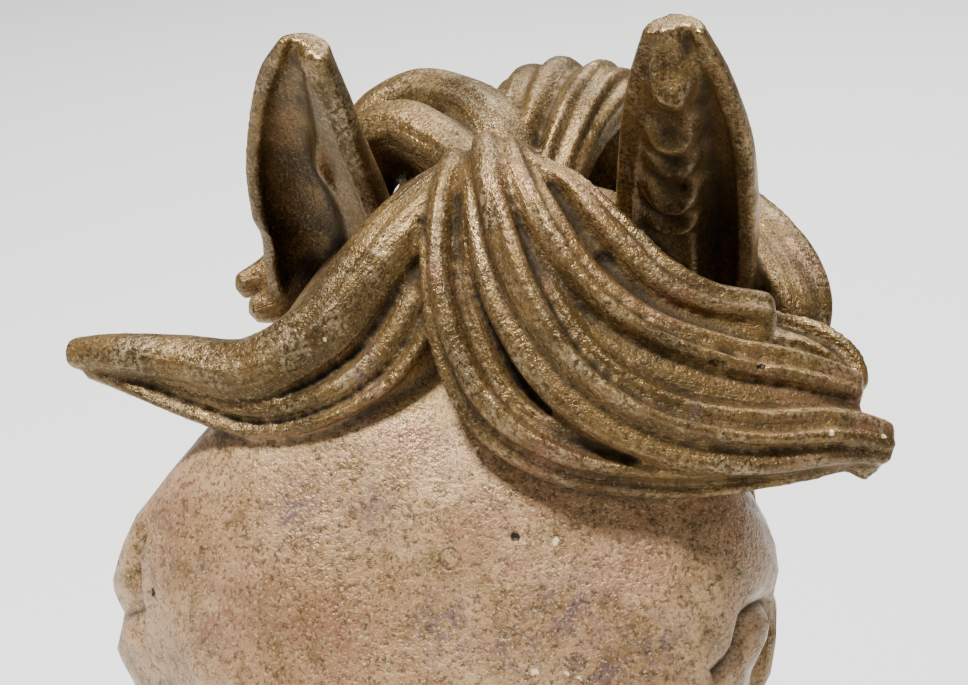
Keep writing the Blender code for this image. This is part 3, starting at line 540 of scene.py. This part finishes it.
def lockTree():  # sweeps a rounded section with uneven grooves along every chain of edges
    tree, given, materialId = newTree("lock of hair", hair, {
        "Ring points": "ring", "Groove depth": "grooveDepth", "Roundness": "roundness", "Stray": "stray",
        "Full depth strands": "fullDepthStrands", "Streak depth": "streakDepth", "Streaks": "streaks",
        "Streak run": "streakRun",
    })

    def times(*values):
        return chained(tree, "MULTIPLY", *values)

    def plus(*values):
        return chained(tree, "ADD", *values)

    def sine(value):
        return calc(tree, "SINE", value)

    def powered(value, power):  # keeps the sign
        return times(calc(tree, "SIGN", value), calc(tree, "POWER", calc(tree, "ABSOLUTE", value), power))

    circle = put(tree, "GeometryNodeCurvePrimitiveCircle", {"Resolution": given["Ring points"]})
    factor = put(tree, "GeometryNodeSplineParameter").outputs["Factor"]
    circle = put(tree, "GeometryNodeStoreNamedAttribute",
                 {"Geometry": circle.outputs[0], "Name": "turn", "Value": factor})
    curve = put(tree, "GeometryNodeMeshToCurve", {"Mesh": given["Geometry"]})
    position = put(tree, "GeometryNodeInputPosition").outputs[0]
    curve = put(tree, "GeometryNodeStoreNamedAttribute",
                {"Geometry": curve.outputs[0], "Name": "centre", "Value": position}, data_type="FLOAT_VECTOR")
    swept = put(tree, "GeometryNodeCurveToMesh",
                {"Curve": curve.outputs[0], "Profile Curve": circle.outputs[0], "Fill Caps": True})
    angle = times(named(tree, "turn"), 2 * math.pi)
    cosine, sin = calc(tree, "COSINE", angle), sine(angle)
    share, strands, own = named(tree, "share"), named(tree, "strands"), named(tree, "own")
    over = calc(tree, "DIVIDE", calc(tree, "ARCCOSINE", cosine), math.pi)  # 0 to 1 across the rounded side
    stray = sine(plus(*(times(value, wave) for value, wave in zip((over, share, own), hair["strayWaves"]))))
    stray = times(stray, sine(times(over, math.pi)), given["Stray"])
    lane = plus(times(over, strands), times(named(tree, "twist"), share), stray)
    strand, lock = hair["unevenWaves"]
    uneven = sine(plus(times(calc(tree, "ROUND", lane), strand), times(own, lock)))
    uneven = calc(tree, "MULTIPLY_ADD", uneven, hair["uneven"][1], hair["uneven"][0])
    ridge = calc(tree, "POWER", calc(tree, "ABSOLUTE", sine(times(lane, math.pi))), given["Roundness"])
    groove = times(calc(tree, "SUBTRACT", 1.0, ridge), uneven, given["Groove depth"])
    groove = times(groove, calc(tree, "GREATER_THAN", strands, 1.5))
    shallower = calc(tree, "DIVIDE", given["Full depth strands"], strands)
    groove = times(groove, calc(tree, "MINIMUM", shallower, 1.0))
    grid = put(tree, "ShaderNodeCombineXYZ",
               {"X": times(over, given["Streaks"]), "Y": times(named(tree, "run"), given["Streak run"]),
                "Z": times(own, hair["apart"])}).outputs[0]
    streak = put(tree, "ShaderNodeTexNoise", {"Vector": grid, "Scale": 1.0, "Detail": 1.5}).outputs["Fac"]
    streak = times(calc(tree, "SUBTRACT", 0.62, streak), given["Streak depth"], 2.6)
    streak = times(streak, calc(tree, "GREATER_THAN", strands, 0.5))
    fade = calc(tree, "MINIMUM", calc(tree, "MULTIPLY_ADD", share, 5.0, 0.1), 1.0)
    tail = calc(tree, "MINIMUM", calc(tree, "MULTIPLY_ADD", share, -4.0, 4.25), 1.0)
    upper = calc(tree, "MINIMUM", calc(tree, "MAXIMUM", plus(sin, 0.35), 0.0), 1.0)
    sink = times(plus(groove, streak), fade, tail, upper)
    x = times(powered(cosine, 0.85), named(tree, "wide"))
    z = times(powered(sin, 0.9), named(tree, "deep"))
    long = calc(tree, "MAXIMUM", calc(tree, "SQRT", plus(times(x, x), times(z, z))), 1e-6)
    shrink = calc(tree, "SUBTRACT", 1.0, calc(tree, "MINIMUM", calc(tree, "DIVIDE", sink, long), 0.5))
    place = named(tree, "centre", "FLOAT_VECTOR")
    for way, amount in (("across", x), ("front", z)):
        step = put(tree, "ShaderNodeVectorMath",
                   {0: named(tree, way, "FLOAT_VECTOR"), "Scale": times(amount, shrink)}, operation="SCALE")
        place = put(tree, "ShaderNodeVectorMath", {0: place, 1: step.outputs[0]}, operation="ADD").outputs[0]
    formed = put(tree, "GeometryNodeSetPosition", {"Geometry": swept.outputs[0], "Position": place})
    closeTree(tree, formed.outputs[0], given["Material"])
    return tree, materialId


def evaluated(item):
    return bpy.data.meshes.new_from_object(item.evaluated_get(bpy.context.evaluated_depsgraph_get()))


def formedBy(item, tree, materialId, material):  # the item's mesh as the tree leaves it
    added = item.modifiers.new(tree.name, "NODES")
    added.node_group = tree
    added[materialId] = material
    return evaluated(item)


def newObject(name, mesh):
    made = bpy.data.objects.new(name, mesh)
    bpy.context.scene.collection.objects.link(made)
    return made


def sweptLocks(locks, material):
    spines = newObject("lock spines", spineMesh(locks, "lock spines"))
    mesh = formedBy(spines, *lockTree(), material)
    bpy.data.objects.remove(spines)
    return mesh


def addRings(work, rings):
    made = [[work.verts.new(p) for p in ring] for ring in rings]
    for low, high in zip(made, made[1:]):
        for j in range(len(low)):
            k = (j + 1) % len(low)
            work.faces.new((low[j], low[k], high[k], high[j]))
    work.faces.new(made[0][::-1])
    work.faces.new(made[-1])


def keepLargest(mesh):  # fusing can leave small loose skins inside
    work = bmesh.new()
    work.from_mesh(mesh)
    left = set(work.verts)
    groups = []
    while left:
        edge = [left.pop()]
        group = set(edge)
        while edge:
            for link in edge.pop().link_edges:
                for vert in link.verts:
                    if vert in left:
                        left.remove(vert)
                        group.add(vert)
                        edge.append(vert)
        groups.append(group)
    groups.sort(key=len)
    for group in groups[:-1]:
        bmesh.ops.delete(work, geom=list(group), context="VERTS")
    work.to_mesh(mesh)
    work.free()


def listed(items, key, width=3, kind=float):
    found = np.empty(width * len(items), kind)
    items.foreach_get(key, found)
    return found.reshape(-1, width)


def places(mesh):
    return listed(mesh.vertices, "co")


def inFace(points):
    return (points - poll) @ faceAxes.T / headLength


def smoothed(values, edges, count, rounds):
    degree = np.bincount(edges.ravel(), minlength=count).astype(float)
    for _ in range(rounds):
        total = np.zeros_like(values)
        for a, b in ((0, 1), (1, 0)):
            for axis in range(values.shape[1]):
                total[:, axis] += np.bincount(edges[:, a], values[edges[:, b], axis], minlength=count)
        values = 0.5 * values + 0.5 * total / np.maximum(degree, 1)[:, None]
    return values


def edgesOf(mesh):
    return listed(mesh.edges, "vertices", 2, np.int64)


def store(mesh, name, values, key="value"):
    layer = mesh.attributes.new(name, "FLOAT" if key == "value" else "FLOAT_VECTOR", "POINT")
    layer.data.foreach_set(key, np.asarray(values, np.float32).ravel())


def storeHollows(mesh):  # how deep each point lies below the surface around it, in millimetres, at two scales
    points, normals, edges = places(mesh), listed(mesh.vertices, "normal"), edgesOf(mesh)
    count = len(points)
    for name, rounds, blur in (("fineHollow", 12, 6), ("broadHollow", 90, 14)):
        ground = smoothed(points, edges, count, rounds)
        depth = ((ground - points) * normals).sum(1, keepdims=True) * 1000
        store(mesh, name, smoothed(depth, edges, count, blur))


# the forehead's pale skin: where each ramp starts and over how far it runs
pale = {
    "offForm": (0.0018, 0.003),  # metres
    # above the top ramp, between the ears under the arches, the skin takes the hair's darker tone as painted
    # shade
    "top": (0.03, 0.08),  # this and the two below are shares of headLength
    "below": (0.32, 0.20),
    "beside": (0.09, 0.12),
    "fade": 0.7,
}


def ramp(value, start, over):
    return np.clip((value - start) / over, 0, 1)


def storeFace(mesh, forms):  # 1 on the forehead's skin, less below and beside it, 0 on hair, ears and neck
    work = bmesh.new()
    for rings in forms:
        addRings(work, rings)
    tree = BVHTree.FromBMesh(work)
    work.free()
    points = places(mesh)
    away = np.array([tree.find_nearest(Vector(p))[3] for p in points])
    _, down, out = inFace(points).T
    # the ramp on down keeps the skin dark between the ears: painted shade
    lighter = (1 - ramp(away, *pale["offForm"])) * ramp(down, *pale["top"])
    lighter *= 1 - pale["fade"] * ramp(down, *pale["below"])
    lighter *= 1 - pale["fade"] * ramp(-out, *pale["beside"])
    store(mesh, "face", smoothed(lighter[:, None], edgesOf(mesh), len(points), 4))


def storeComb(mesh, locks):  # where each point lies on the nearest lock, so that streaks follow the hair
    found = places(locks)
    tree = KDTree(len(found))
    for index, place in list(enumerate(found.tolist()))[::2]:
        tree.insert(place, index)
    tree.balance()
    hits = [tree.find(p) for p in places(mesh).tolist()]
    nearest = np.array([hit[1] for hit in hits])
    onHair = 1 - ramp(np.array([[hit[2]] for hit in hits]), *hair["offLock"])
    store(mesh, "hair", smoothed(onHair, edgesOf(mesh), len(hits), 4))
    layers = [locks.attributes[name].data for name in ("turn", "run", "own")]
    turn, run, own = (listed(layer, "value", 1, np.float32)[nearest, 0] for layer in layers)
    over = np.arccos(np.cos(2 * math.pi * turn)) / math.pi
    comb = np.stack([over * hair["combAcross"], run * hair["combAlong"], own * hair["apart"]], 1)
    store(mesh, "comb", comb, "vector")


# small marks on whatever is in front at (x, s) of the face frame, which are in thousandths of headLength;
# radius and depth are in millimetres, and what stands out has a depth below 0
marks = {
    "pits": [(83, 45, 1.9), (87, 46.5, 1.2), (151, 104, 1.4), (155, 104.5, 1), (176, 102, 1.6),
            (43, 202, 1.2), (-184, 245, 1.4), (122, -38, 1.2), (-142, 9, 1.4), (-26, 27, 1), (120, -18, 1)],
    "specks": [(216, 136, 1.1), (244, 132, 0.9), (15, 153, 0.9), (-75, 100, 0.8), (60, 275, 1.2),
              (78, 275, 1), (85, 276, 0.8), (66, 202, 1.2)],
    "lumps": [(-87, 236, 22, -2.2), (142, 222, 20, -2.2), (15, 188, 18, -1.4), (-112, 262, 14, -1),
             (60, 235, 16, -1.2), (-45, 215, 14, 1.2), (95, 205, 14, 1.2), (-20, 250, 16, 1.4)],
    "pitDepth": 2.2,
    # wrinkles: places (x, s, h) along a line, then radius and depth
    "wrinkles": [
        ([(-191, 201, -21), (-197, 214, -28), (-200, 233, -33), (-196, 255, -39), (-197, 272, -51)],
         3.2, 1.8),
        ([(-197, 214, -28), (-210, 216, -50)], 2.4, 1.6),
        ([(-200, 233, -33), (-214, 235, -55)], 2.4, 1.8),
        ([(-196, 255, -39), (-214, 257, -65)], 2.8, 2.6),
        ([(186, 217, -70), (181, 219, -52), (176, 224, -39), (171, 231, -30), (170, 240, -32),
         (168, 251, -31), (159, 264, -23)], 3.2, 4),
        ([(178, 233, -53), (177, 240, -52)], 8, -3.4),
    ],
    "plug": [(6, 217, 3.6)],
    # stains, and painted shade on the left ear: x, s and radius
    "dust": [(-17, 116, 10), (-28, 128, 8), (-8, 130, 6)],
    "rust": [(-175, 197, 14), (-180, 225, 12), (-112, 248, 18), (-60, 270, 16), (-130, 270, 14),
            (110, 215, 16), (60, 165, 12), (160, 175, 10)],
    "plum": [(51, 264, 10), (96, 268, 12), (6, 255, 12), (130, 255, 10), (-45, 190, 9), (-90, 196, 10),
            (75, 240, 12)],
    # the next list darkens the left ear: painted shade
    "soot": [(-118, -20, 20), (-116, 5, 22), (-116, 30, 20), (-105, -45, 14)],
}


def onSurface(tree, x, s):  # where the front of the casting lies under a place of the face frame
    return np.array(tree.ray_cast(Vector(inWorld((x, s, 0.5))), Vector(wayInWorld((0, 0, -1))))[0])


def addMarks(mesh):
    work = bmesh.new()
    work.from_mesh(mesh)
    tree = BVHTree.FromBMesh(work)
    work.free()
    points, normals = places(mesh), listed(mesh.vertices, "normal")
    front = np.nonzero(inFace(points)[:, 2] > sizes["frontFrom"])[0]
    near, out = points[front], normals[front]

    def closeness(x, s, radius):
        return np.exp(-(np.linalg.norm(near - onSurface(tree, x, s), axis=1) / radius) ** 2)

    sink = np.zeros(len(near))
    for place in thousandths(marks["pits"]):
        sink += closeness(*place) * thousandths(marks["pitDepth"])
    for *place, depth in thousandths(marks["lumps"]):
        sink += closeness(*place) * depth
    for line, radius, depth in marks["wrinkles"]:
        line = evenly(inWorld(thousandths(line)), np.linspace(0, 1, 10 * len(line)))
        away = np.min([np.linalg.norm(near - place, axis=1) for place in line], axis=0)
        sink += thousandths(depth) * np.exp(-(away / thousandths(radius)) ** 2)
    for name in ("dust", "rust", "plum", "soot"):
        stain = np.zeros(len(points))
        stain[front] = np.max([closeness(*place) for place in thousandths(marks[name])], axis=0)
        store(mesh, name, stain)
    spots = {name: [(tuple(onSurface(tree, x, s)), radius) for x, s, radius in thousandths(marks[name])]
             for name in ("pits", "specks", "plug")}
    points[front] -= out * sink[:, None]
    mesh.vertices.foreach_set("co", points.ravel())
    mesh.update()
    return spots


def fused(material):
    work = bmesh.new()
    forms = [carved(headRings(), head["strokes"]), carved(neckRings(), neck["strokes"])]
    forms += [earRings(ear["left"]), earRings(ear["right"])]
    for rings in forms:
        addRings(work, rings)
    addEyeballs(work)
    locks = sweptLocks(headLocks() + maneLocks() + lidLocks(), material)
    work.from_mesh(locks)
    bmesh.ops.recalc_face_normals(work, faces=work.faces)
    mesh = bpy.data.meshes.new("horse head casting")
    work.to_mesh(mesh)
    work.free()
    print("forms made,", len(mesh.vertices), "points")
    body = newObject("horseHeadCasting", mesh)
    remesh = body.modifiers.new("fuse", "REMESH")
    remesh.mode = "VOXEL"
    remesh.voxel_size = sizes["cell"]
    mesh = evaluated(body)
    body.modifiers.remove(remesh)
    body.data = mesh
    keepLargest(mesh)
    print("fused,", len(mesh.polygons), "faces")
    spots = addMarks(mesh)
    storeHollows(mesh)
    storeFace(mesh, forms[:1])
    storeComb(mesh, locks)
    print("marks and attributes stored")
    ease = body.modifiers.new("ease", "SMOOTH")
    ease.factor, ease.iterations = 0.5, 1
    front = body.vertex_groups.new(name="front")
    _, down, out = inFace(places(mesh)).T
    edge = sizes["frontFrom"] + sizes["frontSlope"] * np.maximum(down, 0)
    chosen = (out > edge) & (down < sizes["frontTo"])
    front.add([int(i) for i in np.nonzero(chosen)[0]], 0.5, "REPLACE")
    thin = body.modifiers.new("thin", "DECIMATE")
    thin.vertex_group, thin.invert_vertex_group = front.name, True
    thin.vertex_group_factor = sizes["frontCare"]
    thin.ratio = sizes["triangles"] / (2 * len(mesh.polygons))
    mesh = evaluated(body)
    body.modifiers.clear()
    body.vertex_groups.clear()
    body.data = mesh
    print("thinned,", len(mesh.polygons), "faces")
    return body, spots


def cutFlat(mesh):
    work = bmesh.new()
    work.from_mesh(mesh)
    everything = work.verts[:] + work.edges[:] + work.faces[:]
    bmesh.ops.bisect_plane(
        work, geom=everything, dist=1e-6, plane_co=(0, 0, 0), plane_no=(0, 0, -1), clear_outer=True
    )
    rim = [edge for edge in work.edges if edge.is_boundary]
    for vert in {vert for edge in rim for vert in edge.verts}:
        vert.co.z = 0.0
    bmesh.ops.edgeloop_fill(work, edges=rim)
    bmesh.ops.triangulate(work, faces=work.faces[:])
    work.to_mesh(mesh)
    work.free()


# the cast skin: soft lumps and sand grain that the mesh itself carries
skin = {"lump": 0.0006, "lumpScale": 70.0, "grain": 0.00022, "grainScale": 260.0}


def castSkin(body, material):
    labels = {"Lump": "lump", "Lump scale": "lumpScale", "Grain": "grain", "Grain scale": "grainScale"}
    tree, given, materialId = newTree("cast skin", skin, labels)
    total = None
    for size, scale in (("Lump", "Lump scale"), ("Grain", "Grain scale")):
        noise = put(tree, "ShaderNodeTexNoise", {"Scale": given[scale], "Detail": 2.0}).outputs["Fac"]
        part = calc(tree, "MULTIPLY", calc(tree, "SUBTRACT", noise, 0.55), given[size])
        total = part if total is None else calc(tree, "ADD", total, part)
    position, normal = (put(tree, "GeometryNodeInput" + kind).outputs[0] for kind in ("Position", "Normal"))
    height = put(tree, "ShaderNodeSeparateXYZ", {0: position}).outputs["Z"]
    above = calc(tree, "MINIMUM", calc(tree, "MULTIPLY", height, 50.0), 1.0)  # the cut underside stays flat
    size = calc(tree, "MULTIPLY", total, above)
    offset = put(tree, "ShaderNodeVectorMath", {0: normal, "Scale": size}, operation="SCALE")
    moved = put(tree, "GeometryNodeSetPosition", {"Geometry": given["Geometry"], "Offset": offset.outputs[0]})
    closeTree(tree, moved.outputs[0], given["Material"])
    mesh = formedBy(body, tree, materialId, material)
    body.modifiers.clear()
    body.data = mesh


# patina
patina = {
    "brown": (0.145, 0.082, 0.024, 1),
    "umber": (0.072, 0.040, 0.011, 1),
    "tan": (0.315, 0.172, 0.078, 1),
    "sandy": (0.450, 0.275, 0.138, 1),
    "rust": (0.230, 0.105, 0.060, 1),
    "plum": (0.110, 0.065, 0.065, 1),
    "ochre": (0.330, 0.200, 0.055, 1),
    "dark": (0.014, 0.009, 0.005, 1),
    # a lighter, metal-like tone: rubbed wear on the ridges, and painted highlights with glints among them
    "lighter": (0.520, 0.405, 0.240, 1),
    "speck": (0.700, 0.580, 0.360, 1),
    "sheen": (1.0, 0.86, 0.64, 1),
    "hairMetal": 0.50,
    "faceMetal": 0.12,
    "grainBump": 0.60,
    "grainHeight": 0.0012,
    "edgeWobble": 0.0022,  # metres that the edge of a pit or fleck strays
}


def paintIron(material, spots):
    material.use_nodes = True
    tree = material.node_tree
    tree.nodes.clear()
    place = put(tree, "ShaderNodeTexCoord").outputs["Object"]

    def noise(scale, detail=3.0, rough=0.55, shift=0.0, vector=place):
        moved = put(tree, "ShaderNodeMapping", {"Vector": vector, "Location": (shift, shift, -shift)})
        inputs = {"Vector": moved.outputs[0], "Scale": scale, "Detail": detail, "Roughness": rough}
        return put(tree, "ShaderNodeTexNoise", inputs).outputs["Fac"]

    def between(value, low, high, least=0.0, most=1.0):
        inputs = {"Value": value, "From Min": low, "From Max": high, "To Min": least, "To Max": most}
        return put(tree, "ShaderNodeMapRange", inputs, interpolation_type="SMOOTHSTEP").outputs[0]

    def mixed(first, second, share):
        mix = put(tree, "ShaderNodeMix", data_type="RGBA")
        for socket, value in ((mix.inputs[6], first), (mix.inputs[7], second)):
            if isinstance(value, str):
                socket.default_value = patina[value]
            else:
                tree.links.new(value, socket)
        tree.links.new(share, mix.inputs[0])
        return mix.outputs[2]

    def times(*values):
        return chained(tree, "MULTIPLY", *values)

    def plus(*values):
        return chained(tree, "ADD", *values)

    def kept(name, output="Fac"):
        return put(tree, "ShaderNodeAttribute", attribute_name=name).outputs[output]

    def vectors(operation, inputs, output=0):
        return put(tree, "ShaderNodeVectorMath", inputs, operation=operation).outputs[output]

    wobble = put(tree, "ShaderNodeTexNoise", {"Vector": place, "Scale": 500.0, "Detail": 1.0})
    wobble = vectors("SUBTRACT", {0: wobble.outputs["Color"], 1: (0.5, 0.5, 0.5)})
    uneven = vectors("ADD", {0: place, 1: vectors("SCALE", {0: wobble, "Scale": patina["edgeWobble"]})})

    def near(spot, inner, outer, where=uneven):  # 1 within inner radii of the spot, 0 beyond outer radii
        centre, radius = spot
        away = vectors("DISTANCE", {0: where, 1: centre}, "Value")
        return between(away, radius * outer, radius * inner)

    def anyNear(name):
        return chained(tree, "MAXIMUM", *(near(spot, 0.7, 1.1) for spot in spots[name]))

    fine, broad, face, onHair = kept("fineHollow"), kept("broadHollow"), kept("face"), kept("hair")
    streak = noise(1.0, 3.0, 0.6, 0.0, kept("comb", "Vector"))
    sand, grit = noise(620.0, 2.0, 0.65), noise(1000.0, 2.0, 0.7, 2.3)
    hairColour = mixed("umber", "brown", between(noise(34.0), 0.36, 0.60))
    hairColour = mixed(hairColour, "dark", times(onHair, between(streak, 0.46, 0.32, 0.0, 0.40)))
    hairColour = mixed(hairColour, "lighter", times(onHair, between(streak, 0.58, 0.74, 0.0, 0.15)))
    # painted shade: the left ear darkened
    hairColour = mixed(hairColour, "dark", times(kept("soot"), 0.80))
    faceColour = mixed("tan", "sandy", between(noise(22.0, 4.0, 0.6, 0.4), 0.42, 0.66))
    faceColour = mixed(faceColour, "brown", between(noise(75.0, 6.0, 0.75, 1.3), 0.48, 0.64, 0.0, 0.80))
    faceColour = mixed(faceColour, "umber", between(noise(290.0, 4.0, 0.8, 9.2), 0.50, 0.64, 0.0, 0.85))
    colour = mixed(hairColour, faceColour, face)
    rust = calc(tree, "MAXIMUM", between(noise(19.0, 5.0, 0.65, 0.7), 0.56, 0.72), kept("rust"))
    rust = times(rust, between(noise(130.0, 4.0, 0.7, 7.7), 0.38, 0.58, 0.2, 0.8))
    colour = mixed(colour, "rust", rust)
    plum = calc(tree, "MAXIMUM", between(noise(42.0, 5.0, 0.7, 1.9), 0.60, 0.74), kept("plum"))
    plum = times(plum, between(noise(210.0, 4.0, 0.7, 8.8), 0.42, 0.58))
    colour = mixed(colour, "plum", times(plum, 0.85))
    hollow = times(between(broad, -0.2, 1.2), between(noise(48.0, 5.0, 0.7, 3.1), 0.46, 0.66))
    hollow = calc(tree, "MAXIMUM", times(hollow, 0.35), times(kept("dust"), 0.85))
    colour = mixed(colour, "ochre", times(hollow, between(noise(240.0, 3.0, 0.6, 6.1), 0.30, 0.60, 0.3, 1.0)))
    # lighter on the ridges: partly rubbed wear, partly a painted highlight
    wornAndHighlight = times(between(broad, -0.3, -1.3), between(noise(80.0, 5.0, 0.75, 4.3), 0.44, 0.68))
    wornAndHighlight = times(wornAndHighlight, between(sand, 0.40, 0.60))
    colour = mixed(colour, "lighter", times(wornAndHighlight, 0.45))
    colour = mixed(colour, "dark", between(sand, 0.48, 0.34, 0.0, 0.60))
    glint = between(grit, 0.55, 0.68)
    colour = mixed(colour, "lighter", times(glint, between(face, 0.0, 1.0, 0.28, 0.60)))
    # near-black in fine hollows and in the hair's grooves: partly dark patina there, partly painted shade
    crevice = calc(tree, "MAXIMUM", between(fine, 0.10, 0.60), times(onHair, between(broad, 0.4, 2.2)))
    crevice = times(crevice, 0.90)
    colour = mixed(colour, "dark", crevice)
    plug = spots["plug"][0]
    ring = calc(tree, "SUBTRACT", near(plug, 0.98, 1.12, place), near(plug, 0.74, 0.88, place))
    colour = mixed(colour, "dark", times(ring, 0.4))
    # the pits are painted near-black: painted shade inside the holes
    pit = anyNear("pits")
    colour = mixed(colour, "dark", pit)
    colour = mixed(colour, "speck", anyNear("specks"))
    rough = between(noise(55.0, 3.0, 0.6, 5.5), 0.35, 0.65, 0.27, 0.40)
    rough = plus(rough, times(crevice, 0.4), between(streak, 0.40, 0.60, 0.10, -0.04))
    height = plus(times(sand, between(face, 0.0, 1.0, 0.4, 0.8)), times(grit, 0.3))
    height = plus(height, times(streak, onHair, 0.8))
    height = chained(tree, "SUBTRACT", height, times(pit, 1.5), times(ring, 0.5))
    bump = put(tree, "ShaderNodeBump",
               {"Height": height, "Strength": patina["grainBump"], "Distance": patina["grainHeight"]})
    metal = between(face, 0.0, 1.0, patina["hairMetal"], patina["faceMetal"])
    shader = put(tree, "ShaderNodeBsdfPrincipled",
                 {"Base Color": colour, "Roughness": rough, "Metallic": metal,
                  "Specular Tint": patina["sheen"], "Normal": bump.outputs[0]})
    tree.links.new(shader.outputs[0], tree.nodes.new("ShaderNodeOutputMaterial").inputs[0])


iron = bpy.data.materials.new("iron, brown patina")
casting, spots = fused(iron)
paintIron(iron, spots)
castSkin(casting, iron)
cutFlat(casting.data)
casting.data.polygons.foreach_set("use_smooth", np.ones(len(casting.data.polygons), bool))
casting.data.materials.clear()
casting.data.materials.append(iron)
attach(casting, "root")
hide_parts(node)
print("casting done,", len(casting.data.polygons), "faces")

# floor, light and camera
stage = {
    "floorSize": 14.0,
    "paper": (0.90, 0.90, 0.88, 1),
    "paperRoughness": 0.9,
    "sky": (0.97, 0.98, 1.0, 1),
    "skyStrength": 0.34,
    # place, target, size, watts
    "lamps": [
        ((-0.55, -0.85, 2.9), (0.0, -0.15, 0.50), 0.45, 172.0),
        ((0.3, 2.4, 3.2), (0.0, 2.2, 0.0), 2.4, 190.0),
    ],
}


def aimed(item, place, target, roll=0.0):
    way = Vector(place) - Vector(target)
    turned = way.to_track_quat("Z", "Y").to_matrix().to_4x4() @ Matrix.Rotation(roll, 4, "Z")
    item.matrix_world = Matrix.Translation(place) @ turned


floorMesh = bpy.data.meshes.new("floor")
half = stage["floorSize"] / 2
corners = [(-half, -half, 0), (half, -half, 0), (half, half, 0), (-half, half, 0)]
floorMesh.from_pydata(corners, [], [(0, 1, 2, 3)])
paper = bpy.data.materials.new("pale paper")
paper.use_nodes = True
shader = paper.node_tree.nodes["Principled BSDF"]
shader.inputs["Base Color"].default_value = stage["paper"]
shader.inputs["Roughness"].default_value = stage["paperRoughness"]
floorMesh.materials.append(paper)
floor = newObject("floor", floorMesh)

for number, (place, target, size, watts) in enumerate(stage["lamps"]):
    lamp = bpy.data.lights.new("lamp" + str(number), "AREA")
    lamp.size, lamp.energy = size, watts
    aimed(newObject(lamp.name, lamp), place, target)
world = bpy.data.worlds.new("studio")
world.use_nodes = True
sky = world.node_tree.nodes["Background"].inputs
sky["Color"].default_value, sky["Strength"].default_value = stage["sky"], stage["skyStrength"]
bpy.context.scene.world = world

view = {"azimuth": math.radians(12.0), "elevation": math.radians(20.0), "roll": math.radians(-1.0),
        "target": (0.005, -0.21996, 0.5215), "distance": 0.64, "lens": 71.4, "sensor": 36.0}
azimuth, elevation = view["azimuth"], view["elevation"]
level = math.cos(elevation)
way = Vector((math.sin(azimuth) * level, -math.cos(azimuth) * level, math.sin(elevation)))
lens = bpy.data.cameras.new("camera")
lens.lens, lens.sensor_width, lens.clip_start = view["lens"], view["sensor"], 0.02
camera = newObject("camera", lens)
aimed(camera, Vector(view["target"]) + way * view["distance"], view["target"], view["roll"])
bpy.context.scene.camera = camera
